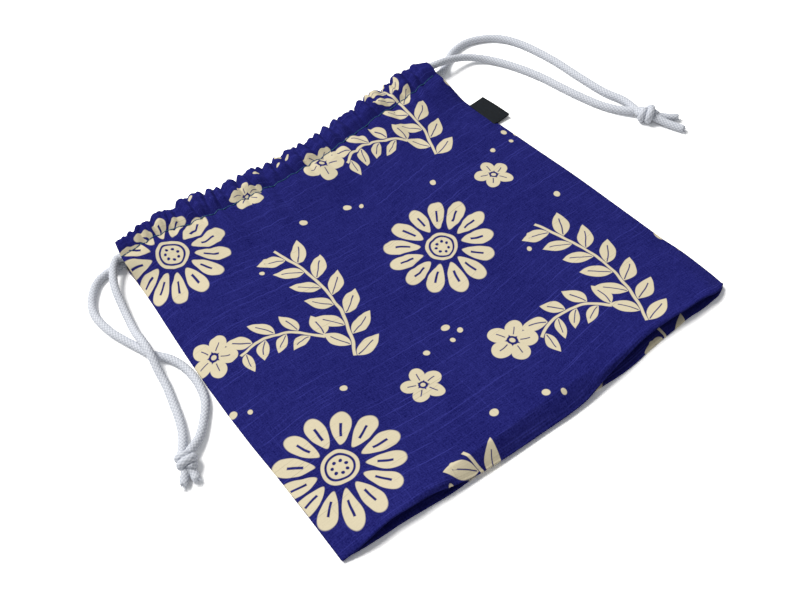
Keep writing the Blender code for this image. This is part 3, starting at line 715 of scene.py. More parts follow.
def leafy_stem(n, x, y, radius, low, high, spacing, length, width, lean):
    """Distance to an arc of stem with leaves on both sides, and to the leaves' bare midribs.

    x is measured from the arc's centre. low and high are where it starts and ends, in radians.
    """
    r = n.length(x, y)
    turn = n.angle(y, x)
    out = r - radius
    along = turn * radius
    stem = (abs(out) - 0.75).most(low * radius - along).most(along - high * radius)
    side = out.step(0.0, 0.001)
    height = abs(out)
    sheared = along - height * math.tan(lean) + side * (spacing * 0.5)
    first, last = math.ceil(low * radius / spacing), math.floor(high * radius / spacing)
    number = (sheared * (1 / spacing) + 0.5).floor().most(float(first)).least(float(last))
    across_leaf = (sheared - number * spacing) * math.cos(lean)
    down = height * (1 / math.cos(lean)) + (sheared - number * spacing) * math.sin(lean)
    place = (down - (length * 0.5 + 1.4)) * (2 / length)
    leaf = abs(across_leaf) - (1.0 - place * place) * (width * 0.5) * (1.0 - place * 0.22).most(0.2)
    rib = (abs(across_leaf) - 0.27).most(down - length * 0.82).most(2.2 - down)
    return stem.least(leaf), rib


def five_petals(n, x, y, reach, petal, turned):
    """Distance to a five-petalled flower, to what is left bare in it, and to its core."""
    r = n.length(x, y)
    turn = n.angle(y, x) + turned
    q = near_whole(turn * (5 / TURN)) * (TURN / 5)
    px, py = r * q.cosine() - reach, r * q.sine()
    body = n.length(px, py * 1.12) - petal
    heart = r - reach * 0.36
    hairs = (abs(py) - 0.26).most(px + reach - reach * 1.15).most(reach * 0.50 - (px + reach))
    core = r - reach * 0.19
    return body, heart.least(hairs), core


def dots(n, x, y, places):
    """Distance to the nearest of a few round dots, each (x, y, radius)."""
    nearest = None
    for at_x, at_y, radius in places:
        one = n.length(x - at_x, y - at_y) - radius
        nearest = one if nearest is None else nearest.least(one)
    return nearest


def flower_print(n, u, v):
    """1 where the cloth carries the pale print, 0 where its blue ground shows."""
    x, y = u * 1000.0, v * 1000.0
    wander = n.noise(n.vector(x, y), 0.075, detail=1.0, output="Color")
    wx, wy, _ = n.split(wander)
    x = x + (wx - 0.5) * PRINT_WANDER + PRINT_SHIFT[0]
    y = y + (wy - 0.5) * PRINT_WANDER + PRINT_SHIFT[1]
    column = (x / TILE[0]).floor()
    tx = x - column * TILE[0] - TILE[0] / 2
    dropped = y + (column * 0.5).fract() * TILE[1]
    ty = dropped - (dropped / TILE[1]).floor() * TILE[1] - TILE[1] / 2

    bx, by = tx + 17.0, ty - 36.0
    body, vein, disc, r, turn = daisy(n, bx, by, petals=13, inner=11.0, outer=29.0, eye=8.6, wander=0.7)
    ring = abs(r - 6.4) - 0.55
    bead = n.length(r - 3.4, (near_whole(turn * (7 / TURN)) * (TURN / 7)) * r) - 0.85
    big = body.most(-vein).least(disc.most(-ring).most(-bead))

    stem, rib = leafy_stem(n, tx + 58.0, ty + 24.0, radius=92.0, low=-0.50, high=0.40, spacing=13.4,
                           length=15.5, width=7.4, lean=math.radians(42))
    sprig = stem.most(-rib)

    body, bare, core = five_petals(n, tx + 30.0, ty + 30.0, reach=7.2, petal=4.9, turned=0.5)
    small = body.most(-bare).least(core)
    body, bare, core = five_petals(n, tx - 36.0, ty - 52.0, reach=6.0, petal=4.1, turned=1.1)
    small = small.least(body.most(-bare).least(core))

    stem, rib = leafy_stem(n, tx + 8.0, ty + 66.0, radius=30.0, low=0.55, high=1.95, spacing=11.0,
                           length=12.5, width=6.2, lean=math.radians(38))
    spray = stem.most(-rib)

    berries = dots(n, tx, ty, ((-48.0, -4.0, 1.9), (-43.5, -9.5, 1.5), (-50.0, -12.0, 1.3), (20.0, 8.0, 1.7),
                               (14.5, 2.0, 1.3), (50.0, 20.0, 1.9), (48.0, 66.0, 1.5), (-38.0, -62.0, 1.8),
                               (-31.5, -66.0, 1.3), (8.0, 70.0, 1.7)))
    nearest = big.least(sprig).least(small).least(spray).least(berries)
    return nearest.inside(PRINT_EDGE * 2)


def slub_lines(n, along, across, spacing, seed):
    """1 on thick places in the yarn, which come and go along lines about spacing apart."""
    row = across * (1 / spacing)
    number = row.floor()
    shift = n.add("ShaderNodeTexWhiteNoise", {"noise_dimensions": "1D"}, output="Value", W=number + seed)
    away = abs(row - number - 0.15 - shift * 0.7) * spacing
    line = 1.0 - away.step(0.00008, 0.00034)
    runs = n.noise(n.vector(along * 34.0, number * 5.3, seed), 1.0).step(0.46, 0.60)
    return line * runs * (0.45 + shift * 0.55)


def scaled(colour, factor, more=0.0):
    """A lighter or darker shade of a colour."""
    return tuple(c * factor + more for c in colour)


def slub_cotton(name, ground, pale, strength):
    """Woven cotton with thick slubs in its weft, printed in a pale colour at that strength."""
    n = Nodes(bpy.data.materials.new(name))
    u, v = n.uv()
    printed = flower_print(n, u, v) * strength
    bend = n.flicker((u * 9.0, v * 9.0), detail=1.0) * 0.006
    weft = v + bend
    thick = slub_lines(n, u, weft, spacing=0.0083, seed=1.0)
    thick = thick.most(slub_lines(n, u, weft, spacing=0.0121, seed=40.0))
    thin = slub_lines(n, u, weft, spacing=0.0047, seed=80.0)
    warp_slub = slub_lines(n, v, u + bend * 0.5, spacing=0.0160, seed=120.0)
    streak = n.flicker((u * 170.0, weft * 1900.0, 5.0))
    warp_streak = n.flicker((u * 1900.0, v * 210.0, 9.0))
    mottle = n.flicker((u, v, 2.0), 45.0, detail=3.0)
    fleck = n.flicker((u, v, 7.0), 1500.0)
    yarns = streak * 0.62 + warp_streak * 0.52 + fleck
    tone = yarns + mottle * 0.28 + thick * 0.66 + thin * 0.30 + warp_slub * 0.24
    dark = (ground[0] * 0.14, ground[1] * 0.16, ground[2] * 0.46)
    light = (ground[0] * 2.2 + 0.015, ground[1] * 2.2 + 0.016, ground[2] * 1.55 + 0.024)
    blue = n.mix(tone + 0.40, dark, light)
    pale_tone = yarns * 0.45 + mottle * 0.40 - thick * 0.45 - thin * 0.15 - warp_slub * 0.25
    cream = n.mix(pale_tone + 0.58, scaled(pale, 0.80), scaled(pale, 1.08))
    over = (u * (TURN / THREAD_PAIR)).sine() * (v * (TURN / THREAD_PAIR)).sine()
    threads = over * 0.30 + streak * 0.9 + warp_streak * 0.6
    height = threads + thick * 1.8 + thin * 0.8 + warp_slub * 0.8 + printed * 0.15
    return n.finish(Base_Color=n.mix(printed, blue, cream), Roughness=0.88 + mottle * 0.12 - printed * 0.06,
                    Specular_IOR_Level=0.04, Normal=n.bump(height, strength=0.55, distance=0.00011))


def cord_braid(name, colour):
    """Soft braid with painted shade, darker and greyer in the grooves that its mesh carries, and a painted
    highlight on the strand tops.
    """
    n = Nodes(bpy.data.materials.new(name))
    u, v = n.uv()
    groove = n.add("ShaderNodeAttribute", {"attribute_name": "groove"}, output="Fac")
    fibre = n.flicker((u * 240.0, v * 900.0))
    patch = n.flicker((u * 3.0, v * 45.0, 4.0))
    # Painted shade: the grooves are coloured down to about half the braid's colour, and greyer
    shade = tuple(c * f for c, f in zip(colour, (0.50, 0.52, 0.57)))
    # Painted highlight: the strand tops are coloured a little lighter than the braid's colour
    light = tuple(min(c * 1.07, 0.84) for c in colour)
    tone = groove ** 1.4 + fibre * 0.30 + patch * 0.25
    return n.finish(Base_Color=n.mix(tone, light, shade), Roughness=0.78 + fibre * 0.20,
                    Specular_IOR_Level=0.25, Normal=n.bump(fibre, strength=0.35, distance=0.00012))


def woven_tape(name, colour):
    """Close-woven tape, with fine ribs."""
    n = Nodes(bpy.data.materials.new(name))
    x, y, z = n.place()
    rib = (x * (TURN / 0.00042)).sine() * (y * (TURN / 0.00050)).sine()
    lint = n.flicker((x * 900.0, y * 300.0, z * 900.0), detail=3.0)
    tone = rib * 0.16 + lint * 0.9 + 0.30
    return n.finish(Base_Color=n.mix(tone, scaled(colour, 0.6), scaled(colour, 2.2, 0.003)),
                    Roughness=0.70 + lint * 0.25, Specular_IOR_Level=0.16,
                    Normal=n.bump(rib + lint, strength=0.5, distance=0.00008))


def sewing_thread(name, colour):
    """Twisted thread."""
    n = Nodes(bpy.data.materials.new(name))
    x, y, z = n.place()
    ply = ((x + y * 0.6 + z) * (TURN / 0.00055)).sine()
    tone = ply * 0.3 + n.noise(n.vector(x, y, z), 1400.0, detail=1.0) * 0.5 + 0.25
    return n.finish(Base_Color=n.mix(tone, scaled(colour, 0.55), scaled(colour, 1.35)),
                    Roughness=0.55 + ply * 0.08, Normal=n.bump(ply, strength=0.4, distance=0.00006))


def white_floor(name):
    """A matt pale floor that shows white to the camera, apart from the object's shadow."""
    n = Nodes(bpy.data.materials.new(name))
    seen = n.ray("Is Camera Ray").most(n.ray("Is Glossy Ray"))
    matt = n.add("ShaderNodeBsdfDiffuse", {}, n.mix(seen, scaled(WHITE, 0.82), WHITE))
    paler = n.add("ShaderNodeBsdfDiffuse", {}, n.mix(seen, scaled(WHITE, 0.0), scaled(WHITE, 0.50)))
    return n.show(n.add("ShaderNodeAddShader", {}, matt, paler))


def studio_light(name, strength):
    """An even light from all round, with white behind it for the camera."""
    n = Nodes(bpy.data.worlds.new(name))
    fill = n.add("ShaderNodeBackground", {}, FILL_COLOUR, strength)
    seen = n.add("ShaderNodeBackground", {}, WHITE, 1.0)
    return n.show(n.add("ShaderNodeMixShader", {}, n.ray("Is Camera Ray"), fill, seen))


def smooth_route(points, step):
    """Points about step apart on a smooth curve through the given ones (a centripetal Catmull-Rom curve)."""
    given = np.array(points, float)
    ends = np.vstack([2 * given[0] - given[1], given, 2 * given[-1] - given[-2]])
    times = np.concatenate([[0.0], np.cumsum(np.sqrt(np.linalg.norm(np.diff(ends, axis=0), axis=1)))])
    fine = []
    for i in range(1, len(ends) - 2):
        t0, t1, t2, t3 = times[i - 1:i + 3]
        p0, p1, p2, p3 = ends[i - 1:i + 3]
        for t in np.linspace(t1, t2, 24, endpoint=False):
            a1 = between(p0, p1, (t - t0) / (t1 - t0))
            a2 = between(p1, p2, (t - t1) / (t2 - t1))
            a3 = between(p2, p3, (t - t2) / (t3 - t2))
            b1 = between(a1, a2, (t - t0) / (t2 - t0))
            b2 = between(a2, a3, (t - t1) / (t3 - t1))
            fine.append(between(b1, b2, (t - t1) / (t2 - t1)))
    fine = np.array(fine + [given[-1]])
    along = distances(fine)
    return points_at(np.linspace(0.0, along[-1], max(2, round(along[-1] / step)) + 1), along, fine)


def beside_bag(side, point, diameter):
    """A point of a cord's free loop. side is -1 for the left side and 1 for the right."""
    out, past_mouth, level = point
    y = MOUTH_Y + past_mouth
    half = between(HALF_WIDTH, MOUTH_HALF, ease((past_mouth + NARROWING_RUN) / NARROWING_RUN))
    return np.array((side * (half + out), y, TABLE_GAP + diameter * (level + 0.5)))


def tail_directions(towards):
    """The way that a knot's tails point, and the level direction across it."""
    a = math.radians(towards)
    return np.array((math.cos(a), math.sin(a), 0.0)), np.array((-math.sin(a), math.cos(a), 0.0))


def strand_points(side, seam, mouth, base):
    """Points along a hidden strand, from the side where the cord is tied to its turn at the other.

    base is the height of the cloth under it.
    """
    count = round((NEAR_END + FAR_END) / STRAND_STEP)
    points = []
    for x in np.linspace(side * NEAR_END, -side * FAR_END, count + 1):
        y = seam(x) + FROM_STITCHES if side < 0 else mouth(x) - FROM_MOUTH_EDGE
        z = CLOTH_THICKNESS / 2 + base(x) + CORD_HEIGHT_IN_CHANNEL
        points.append(np.array((x, float(y), float(z))))
    return points


def cord_route(string, diameter):
    """A drawstring's centreline, from inside its knot through both channels and back into the knot.

    Returns it, and the points between which it is hidden.
    """
    side = string.side
    knot = beside_bag(side, string.knot_at, diameter)
    tails, aside = tail_directions(string.towards)
    start, finish = (knot - tails * INTO_KNOT + side * sign * aside * APART_IN_KNOT for sign in (1, -1))
    out_loop = [beside_bag(side, p, diameter) for p in string.front_loop]
    home_loop = [beside_bag(side, p, diameter) for p in string.back_loop]
    there = strand_points(side, SEAM_F, MOUTH_F, lambda x: hem_height(x / HALF_WIDTH))
    back = strand_points(side, SEAM_B, MOUTH_B, lambda x: 0.0)[::-1]
    centre, (_, wide, high) = (there[-1] + back[0]) / 2, (there[-1] - back[0]) / 2
    turn = []
    for degrees in (60.0, 20.0, -20.0, -60.0):
        a = math.radians(degrees)
        turn.append(centre + np.array((-side * high * math.cos(a), wide * math.sin(a), high * math.sin(a))))
    return np.array([start, *out_loop, *there, *turn, *back, *home_loop, finish]), (there[2], back[-3])


def ring_places(line, hidden):
    """Distances along a line for its rings: close together where it shows, and apart where it is hidden."""
    along = distances(line)
    ends = [along[np.argmin(np.linalg.norm(line - end, axis=1))] for end in hidden]
    stops = [0.0, *ends, along[-1]]
    steps = (RING_STEP, HIDDEN_RING_STEP, RING_STEP)
    at = [np.linspace(a, b, max(2, round((b - a) / step)), endpoint=False)
          for a, b, step in zip(stops, stops[1:], steps)]
    return along, np.concatenate(at + [[along[-1]]])


def carried_frames(centres):
    """Directions across a line at each of its points, carried along without twisting."""
    ahead = np.gradient(centres, axis=0)
    ahead /= np.linalg.norm(ahead, axis=1)[:, None]
    first = np.cross(ahead[0], (0.0, 0.0, 1.0))
    first /= np.linalg.norm(first)
    out = [first]
    for i in range(1, len(centres)):
        carried = out[-1] - ahead[i] * np.dot(out[-1], ahead[i])
        out.append(carried / np.linalg.norm(carried))
    out = np.array(out)
    return out, np.cross(ahead, out)


def braid_height(turn, along):
    """How high the braid's strands stand at a turn round it and a length along it, 0 in a groove to 1."""
    a = BRAID_STRANDS * turn + along / BRAID_PICK
    b = BRAID_STRANDS * turn - along / BRAID_PICK
    on_top = (np.floor(a) + np.floor(b)) % 2
    across_a, across_b = np.sin(math.pi * (a % 1)), np.sin(math.pi * (b % 1))
    one = across_a ** 0.75 * across_b ** 0.40
    other = across_b ** 0.75 * across_a ** 0.40
    return np.where(on_top < 0.5, one, other)


def tube_faces(rings, sides, start=0):
    """The faces of a closed tube, whose points are numbered ring by ring from start."""
    ids = start + np.arange(rings * sides).reshape(rings, sides)
    after = np.roll(ids, -1, axis=1)
    quads = np.stack([ids[:-1], after[:-1], after[1:], ids[1:]], axis=-1).reshape(-1, 4)
    return [*quads.tolist(), ids[0][::-1].tolist(), ids[-1].tolist()]


def tube_piece(name, points, faces, uvs, groove):
    """A piece of cord. The last argument says how deep each point lies between the strands, which sets the
    braid's painted shade in its grooves.
    """
    piece = new_piece(name, points, faces, uvs)
    depths = piece.data.attributes.new("groove", "FLOAT", "POINT")
    depths.data.foreach_set("value", groove.astype(np.float32).ravel())
    return piece


def braided_tube(name, line, diameter, hidden=(), end_taper=(1.0, 1.0), squeeze=1.0):
    """A length of round braid along a line, as a mesh. Returns it and its ring centres."""
    along, at = ring_places(line, hidden)
    centres = points_at(at, along, line)
    side, up = carried_frames(centres)
    turn = np.arange(RING_SIDES) / RING_SIDES
    height = braid_height(turn[None, :], at[:, None])
    height = np.where((np.gradient(at) > 2 * RING_STEP)[:, None], EVEN_HEIGHT, height)
    radius = diameter / 2 - BRAID_GROOVE * (1 - height) + 0.00006
    for taper, inwards in zip(end_taper, (at, at[-1] - at)):
        rounded = np.sqrt(1 - (1 - np.minimum(inwards / (0.45 * diameter), 1.0)) ** 2)
        radius = radius * between(taper, 1.0, rounded)[:, None]
    cos, sin = np.cos(TURN * turn)[None, :, None], np.sin(TURN * turn)[None, :, None]
    across_part = side[:, None, :] * cos + up[:, None, :] * sin * squeeze
    points = centres[:, None, :] + radius[:, :, None] * across_part
    uv_turn = np.minimum(turn, 1 - turn) * 2
    uvs = np.stack(np.broadcast_arrays(uv_turn[None, :] * diameter, at[:, None]), axis=-1).reshape(-1, 2)
    faces = tube_faces(len(centres), RING_SIDES)
    return tube_piece(name, points.reshape(-1, 3), faces, uvs, 1 - height), centres


def joined(name, pieces):
    """Several meshes as one piece of that name."""
    select_only(*pieces)
    bpy.ops.object.join()
    whole = bpy.context.view_layer.objects.active
    whole.name = whole.data.name = name
    return whole


def knot_turns(knot, towards, diameter, wide):
    """The centreline of the cord's turns round the knot, which start and end inside it."""
    tails, aside = tail_directions(towards)
    up = np.array((0.0, 0.0, 1.0))
    line = []
    for t in np.linspace(0, 1, 64):
        around = TURN * KNOT_TURNS * t + 0.6
        tuck = ease(t / 0.16) * ease((1 - t) / 0.16)
        reach = diameter * between(0.15, wide, tuck)
        place = diameter * between(-0.95, 0.85, t) + diameter * 0.30 * math.sin(around)
        point = knot + tails * place + aside * reach * math.cos(around) + up * 0.88 * reach * math.sin(around)
        point[2] = np.clip(point[2], TABLE_GAP + 0.47 * diameter, knot[2] + 0.66 * diameter)
        line.append(point)
    return np.array(line)


def loose_fibres(name, ends, count, seed, long):
    """Thin loose fibres that splay from the cut ends of the tails. ends are (place, direction, radius)."""
    draw = np.random.default_rng(seed)
    t = rows(FIBRE_RINGS - 1).T
    turn = TURN * np.arange(FIBRE_SIDES)[:, None] / FIBRE_SIDES
    points, faces, uvs = [], [], []
    for place, ahead, radius in ends:
        side = np.cross(ahead, (0.0, 0.0, 1.0))
        side /= np.linalg.norm(side)
        up = np.cross(side, ahead)
        for _ in range(count):
            a, r = draw.random() * TURN, math.sqrt(draw.random()) * radius * 0.9
            outwards = side * math.cos(a) + up * math.sin(a)
            splay = outwards * draw.uniform(0.1, 0.75) * (r / radius)
            reach = long * draw.uniform(0.45, 1.0)
            curl = (side * draw.normal() + up * draw.normal()) * 0.35
            thick = draw.uniform(0.00007, 0.00012) * (1 - 0.65 * t)
            line = place + outwards * r + reach * (ahead * (t - 0.25) + splay * t + curl * t * t)
            line[:, 2] = np.maximum(line[:, 2], 0.00025)
            faces += tube_faces(FIBRE_RINGS, FIBRE_SIDES, len(points) * FIBRE_RINGS * FIBRE_SIDES)
            ring = side * np.cos(turn) + up * np.sin(turn)
            points.append(line[:, None, :] + ring[None, :, :] * thick[:, :, None])
            uvs.append(np.repeat(np.hstack([t * 0.001, reach * t]), FIBRE_SIDES, axis=0))
    points = np.reshape(points, (-1, 3))
    return tube_piece(name, points, faces, np.reshape(uvs, (-1, 2)), np.full(len(points), FIBRE_GROOVE))


class BagClothSettings(bpy.types.PropertyGroup):
    """Sizes and colours of the bag's cloth, label and thread."""

    gathers: FloatProperty(name="Gathers", description="How deep the gathers at the mouth are", default=1.0,
                           min=0.0, max=1.5)
    stitch: FloatProperty(name="Stitch", description="Length of one stitch", default=0.0027, unit="LENGTH")
    ground: FloatVectorProperty(name="Ground", description="Colour of the dyed cloth",
                                default=(0.0085, 0.0092, 0.138), subtype="COLOR")
    pale: FloatVectorProperty(name="Print", description="Colour of the print",
                              default=(0.665, 0.592, 0.420), subtype="COLOR")
    label: FloatVectorProperty(name="Label", description="Colour of the side label",
                               default=(0.0050, 0.0075, 0.0105), subtype="COLOR")
    thread: FloatVectorProperty(name="Thread", description="Colour of the stitching",
                                default=(0.008, 0.082, 0.185), subtype="COLOR")


class DrawstringSettings(bpy.types.PropertyGroup):
    """Sizes and colour of the drawstrings."""

    diameter: FloatProperty(name="Diameter", description="Thickness of the cord", default=0.0044,
                            unit="LENGTH")
    colour: FloatVectorProperty(name="Colour", description="Colour of the braid",
                                default=(0.655, 0.678, 0.730), subtype="COLOR")
    fibres: IntProperty(name="Fibres", description="Loose fibres at each cut end", default=34, min=0)


class StageSettings(bpy.types.PropertyGroup):
    """The camera's lens and the studio's light."""

    lens: FloatProperty(name="Lens", description="Focal length of the camera", default=45.58, unit="CAMERA")
    sky: FloatProperty(name="Fill light", description="Strength of the light from all round", default=0.31)
    key: FloatProperty(name="Main light", description="Power of the large lamp, in watts", default=86.0)


def settings():
    scene = bpy.context.scene
    return scene.bag_cloth, scene.bag_drawstrings, scene.bag_stage


class BAG_OT_stage(bpy.types.Operator):
    """Sets the camera, the pale floor and the studio light"""

    bl_idname = "bag.stage"
    bl_label = "Stage"

    def execute(self, context):
        stage = settings()[2]
        self.place_camera(context.scene, stage.lens)
        context.scene.view_settings.view_transform = "Standard"
        context.scene.world = studio_light("studio", stage.sky)

        select_only()
        bpy.ops.mesh.primitive_plane_add(size=FLOOR_SIZE, location=(0.0, 0.0, 0.0))
        floor = context.object
        floor.name = "floor"
        floor.data.materials.append(white_floor("white_floor"))

        lamp = bpy.data.lights.new("main_lamp", "AREA")
        lamp.energy = stage.key
        lamp.shape = "DISK"
        lamp.size = LAMP_WIDTH
        lamp.color = LAMP_COLOUR
        holder = bpy.data.objects.new("main_lamp", lamp)
        context.scene.collection.objects.link(holder)
        holder.location = LAMP_AT
        holder.rotation_euler = (Vector(LAMP_AIM) - holder.location).to_track_quat("-Z", "Y").to_euler()
        return {"FINISHED"}

    def place_camera(self, scene, lens):
        camera = bpy.data.objects.new("camera", bpy.data.cameras.new("camera"))
        scene.collection.objects.link(camera)
        camera.data.lens = lens
        camera.data.clip_start = 0.01
        axes = Matrix((CAMERA_RIGHT, CAMERA_UP, CAMERA_BACK)).transposed()
        camera.matrix_world = Matrix.Translation(CAMERA_AT) @ axes.to_4x4()
        scene.camera = camera


class BAG_OT_cords(bpy.types.Operator):
    """Braids both drawstrings and lays them through the channels"""

    bl_idname = "bag.cords"
    bl_label = "Drawstrings and knots"

    def execute(self, context):
        cords = settings()[1]
        braid = cord_braid("grey_braid", tuple(cords.colour))
        for string in (LEFT_CORD, RIGHT_CORD):
            knot = self.tie_knot(string, braid, cords)
            self.lay_cord(string, knot, braid, cords)
        return {"FINISHED"}

    def lay_cord(self, string, knot, braid, cords):
        route, hidden = cord_route(string, cords.diameter)
        line = smooth_route(route, 0.0004)
        cord, centres = braided_tube(string.name + "_cord_braid", line, cords.diameter, hidden)
        cord.data.materials.append(braid)
        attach(cord, "root")
        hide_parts(string.name + "_cord")

    def tie_knot(self, string, braid, cords):
        name, side, d = string.name, string.side, cords.diameter
        middle = beside_bag(side, string.knot_at, d)
        line = knot_turns(middle, string.towards, d, string.wide)
        pieces, ends = [braided_tube(name + "_turns", line, d * 0.94, squeeze=0.96)[0]], []
        inside = middle - tail_directions(string.towards)[0] * 0.001
        for number, tail in enumerate(string.tails):
            line = smooth_route([inside] + [beside_bag(side, p, d) for p in tail], 0.0003)
            tube, centres = braided_tube(f"{name}_tail_{number}", line, d * 0.96, end_taper=(1.0, 0.72))
            pieces.append(tube)
            ahead = centres[-1] - centres[-8]
            ends.append((centres[-1], ahead / np.linalg.norm(ahead), d / 2 * 0.8))
        pieces.append(loose_fibres(name + "_fibres", ends, cords.fibres, string.seed, string.fray))
        knot = joined(name + "_knot_braid", pieces)
        knot.data.materials.clear()
        knot.data.materials.append(braid)
        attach(knot, "root")
        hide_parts(name + "_knot")
        return knot


class BAG_OT_cloth(bpy.types.Operator):
    """Folds, gathers and sews the bag from one strip of printed cotton"""

    bl_idname = "bag.cloth"
    bl_label = "Bag cloth"

    def execute(self, context):
        sewn = settings()[0]
        u, points, strip = cloth_grid(sewn.gathers)
        ids = np.arange(strip.size).reshape(strip.shape)
        quads = np.stack([ids[:-1, :-1], ids[:-1, 1:], ids[1:, 1:], ids[1:, :-1]], axis=-1)
        keep = np.ones(quads.shape[:2], bool)
        past_hem = np.abs(u[:-1, 0] + u[1:, 0]) / 2 > HEM_END
        keep[past_hem, :HEM_ROWS + MOUTH_FOLD_ROWS // 2] = False
        keep[past_hem, -(BACK_HEM_ROWS + MOUTH_FOLD_ROWS // 2):] = False
        used, faces = np.unique(quads[keep], return_inverse=True)
        uvs = np.stack(np.broadcast_arrays(u * HALF_WIDTH, strip), axis=-1).reshape(-1, 2)[used]
        cloth = new_piece("bag_cloth_sheet", points.reshape(-1, 3)[used], faces.reshape(-1, 4).tolist(), uvs)
        ground, pale = tuple(sewn.ground), tuple(sewn.pale)
        cloth.data.materials.append(slub_cotton("printed_cotton", ground, pale, 1.0))
        reverse = tuple(between(g, p, 0.10) for g, p in zip(ground, pale))
        cloth.data.materials.append(slub_cotton("cotton_reverse", reverse, pale, 0.30))
        thicken(cloth, CLOTH_THICKNESS).material_offset = 1
        apply_modifiers(cloth)
        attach(cloth, "root")
        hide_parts("bag_cloth")
        return {"FINISHED"}


class BAG_OT_label(bpy.types.Operator):
    """Folds the tape label and catches it in the right side seam"""

    bl_idname = "bag.label"
    bl_label = "Side label"

    def execute(self, context):
        low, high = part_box("side_label")
        inner, outer = low[0] - 0.0004, high[0] - TAPE / 2 - LABEL_FOLD - LABEL_SHORT
        bottom, top = low[1] + 0.0002, high[1] - 0.0002
        label = self.folded_tape(inner, outer, bottom, top)
        for vertex in label.data.vertices:
            x, y, z = vertex.co
            out, up = (x - inner) / (outer - inner), (y - bottom) / (top - bottom)
            vertex.co.x = x - LABEL_SLANT * (y - (bottom + top) / 2) * out
            vertex.co.z = z + LABEL_RISE * out * out + LABEL_BULGE * math.sin(up * math.pi) * out
        thicken(label, TAPE)
        edge = label.modifiers.new("edges", "BEVEL")
        edge.width = 0.00010
        edge.segments = 2
        edge.limit_method = "ANGLE"
        apply_modifiers(label)
        bpy.ops.object.shade_smooth_by_angle(angle=math.radians(40))
        label.data.materials.append(woven_tape("black_tape", tuple(settings()[0].label)))
        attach(label, "root")
        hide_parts("side_label")
        return {"FINISHED"}

    def folded_tape(self, inner, outer, bottom, top):
        """The label's middle surface: its upper half, the fold at its outer end and its lower half."""
        select_only()
        bpy.ops.mesh.primitive_plane_add(size=1.0, location=(0.0, 0.0, 0.0))
        label = bpy.context.object
        label.name = label.data.name = "side_label_tape"
        span = Matrix.Diagonal((outer - inner, top - bottom, 1.0, 1.0))
        middle = ((inner + outer) / 2, (top + bottom) / 2, LABEL_HEIGHT + LABEL_FOLD)
        label.data.transform(Matrix.Translation(middle) @ span)
        bpy.ops.object.mode_set(mode="EDIT")
        bpy.ops.mesh.select_mode(type="EDGE")
        bpy.ops.mesh.select_all(action="DESELECT")
        bpy.ops.object.mode_set(mode="OBJECT")
        for edge in label.data.edges:
            edge.select = all(label.data.vertices[i].co.x > outer - 1e-5 for i in edge.vertices)
        bpy.ops.object.mode_set(mode="EDIT")
        bpy.ops.mesh.spin(steps=8, angle=math.pi, center=(outer, 0.0, LABEL_HEIGHT), axis=(0.0, 1.0, 0.0))
        bpy.ops.mesh.extrude_region_move(TRANSFORM_OT_translate={"value": (inner - outer, 0.0, 0.0)})
        bpy.ops.mesh.select_all(action="SELECT")
        bpy.ops.mesh.subdivide(number_cuts=5)
        bpy.ops.mesh.normals_make_consistent(inside=False)
        bpy.ops.object.mode_set(mode="OBJECT")
        return label


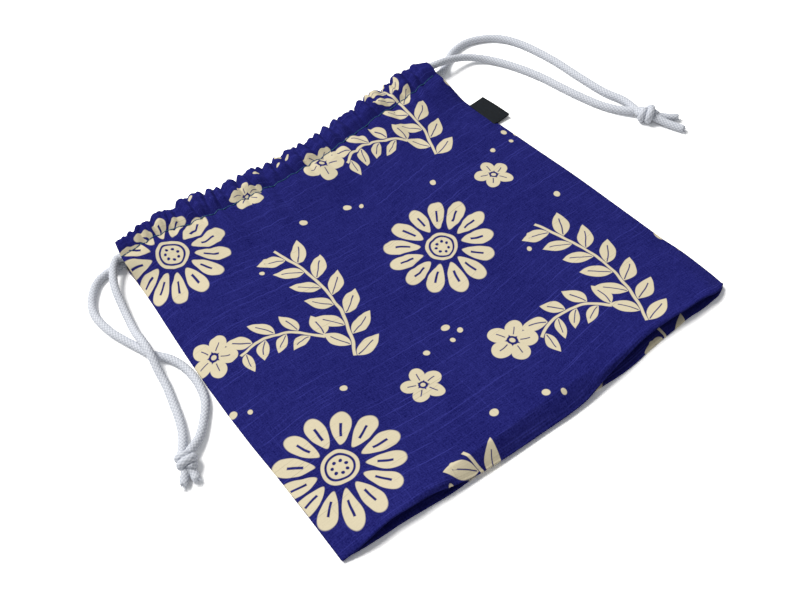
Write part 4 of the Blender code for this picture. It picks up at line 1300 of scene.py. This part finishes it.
class BAG_OT_stitching(bpy.types.Operator):
    """Sews the stitch line under each channel"""

    bl_idname = "bag.stitching"
    bl_label = "Stitching"

    def execute(self, context):
        sewn = settings()[0]
        points = cloth_grid(sewn.gathers)[1]
        pitch = sewn.stitch + STITCH_GAP
        stitch = self.model_stitch(sewn.stitch - 2 * THREAD_RADIUS)
        front_row = HEM_ROWS + MOUTH_FOLD_ROWS + CHANNEL_ROWS
        back_row = points.shape[1] - 1 - BACK_HEM_ROWS - MOUTH_FOLD_ROWS - BACK_CHANNEL_ROWS
        copies = []
        for row, lift in ((front_row, FRONT_THREAD_LIFT), (back_row, BACK_THREAD_LIFT)):
            line = points[:, row, :]
            along = distances(line)
            for start in np.arange(LINE_END, along[-1] - LINE_END - pitch, pitch):
                ends = points_at((start, start + sewn.stitch), along, line)
                copies.append(self.placed(stitch, ends, lift))
        bpy.data.objects.remove(stitch)
        thread = joined("channel_stitching", copies)
        thread.data.materials.append(sewing_thread("teal_thread", tuple(sewn.thread)))
        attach(thread, "root")
        return {"FINISHED"}

    def model_stitch(self, straight):
        """One stitch, along X from the origin, with round ends."""
        select_only()
        bpy.ops.mesh.primitive_uv_sphere_add(segments=8, ring_count=6, radius=THREAD_RADIUS,
                                             rotation=(0.0, math.pi / 2, 0.0))
        stitch = bpy.context.object
        bpy.ops.object.transform_apply(location=True, rotation=True, scale=True)
        corners = stitch.data.vertices
        for vertex in corners:
            vertex.select = vertex.co.x > THREAD_RADIUS * 0.01
        for part in (*stitch.data.edges, *stitch.data.polygons):
            part.select = all(corners[i].select for i in part.vertices)
        bpy.ops.object.mode_set(mode="EDIT")
        bpy.ops.transform.translate(value=(straight, 0.0, 0.0))
        bpy.ops.object.mode_set(mode="OBJECT")
        bpy.ops.object.shade_smooth()
        return stitch

    def placed(self, stitch, ends, lift):
        start, end = ends
        ahead = Vector(end - start)
        copy = bpy.data.objects.new("stitch", stitch.data.copy())
        bpy.context.scene.collection.objects.link(copy)
        turn = ahead.to_track_quat("X", "Z").to_matrix().to_4x4()
        copy.data.transform(Matrix.Translation(Vector(start) + Vector((0.0, 0.0, lift))) @ turn)
        return copy


class BAG_PT_panel(bpy.types.Panel):
    """Lists the bag's pieces and their sizes and colours"""

    bl_idname = "BAG_PT_panel"
    bl_label = "Furoshiki Bag"
    bl_space_type = "VIEW_3D"
    bl_region_type = "UI"
    bl_category = "Bag"

    def draw(self, context):
        for group, operators in (("bag_stage", (BAG_OT_stage,)), ("bag_drawstrings", (BAG_OT_cords,)),
                                 ("bag_cloth", (BAG_OT_cloth, BAG_OT_label, BAG_OT_stitching))):
            box = self.layout.box()
            values = getattr(context.scene, group)
            for name in values.bl_rna.properties.keys():
                if name not in ("rna_type", "name"):
                    box.prop(values, name)
            for operator in operators:
                box.operator(operator.bl_idname)


CLASSES = (BagClothSettings, DrawstringSettings, StageSettings, BAG_OT_stage, BAG_OT_cords, BAG_OT_cloth,
           BAG_OT_label, BAG_OT_stitching, BAG_PT_panel)
GROUPS = (("bag_cloth", BagClothSettings), ("bag_drawstrings", DrawstringSettings),
          ("bag_stage", StageSettings))


def register():
    for kind in CLASSES:
        bpy.utils.register_class(kind)
    for name, kind in GROUPS:
        setattr(bpy.types.Scene, name, PointerProperty(type=kind))


def unregister():
    for name, _ in GROUPS:
        delattr(bpy.types.Scene, name)
    for kind in reversed(CLASSES):
        bpy.utils.unregister_class(kind)


def main():
    register()
    bpy.ops.bag.stage()
    bpy.ops.bag.cords()
    bpy.ops.bag.cloth()
    bpy.ops.bag.label()
    bpy.ops.bag.stitching()


if __name__ == "__main__":
    main()
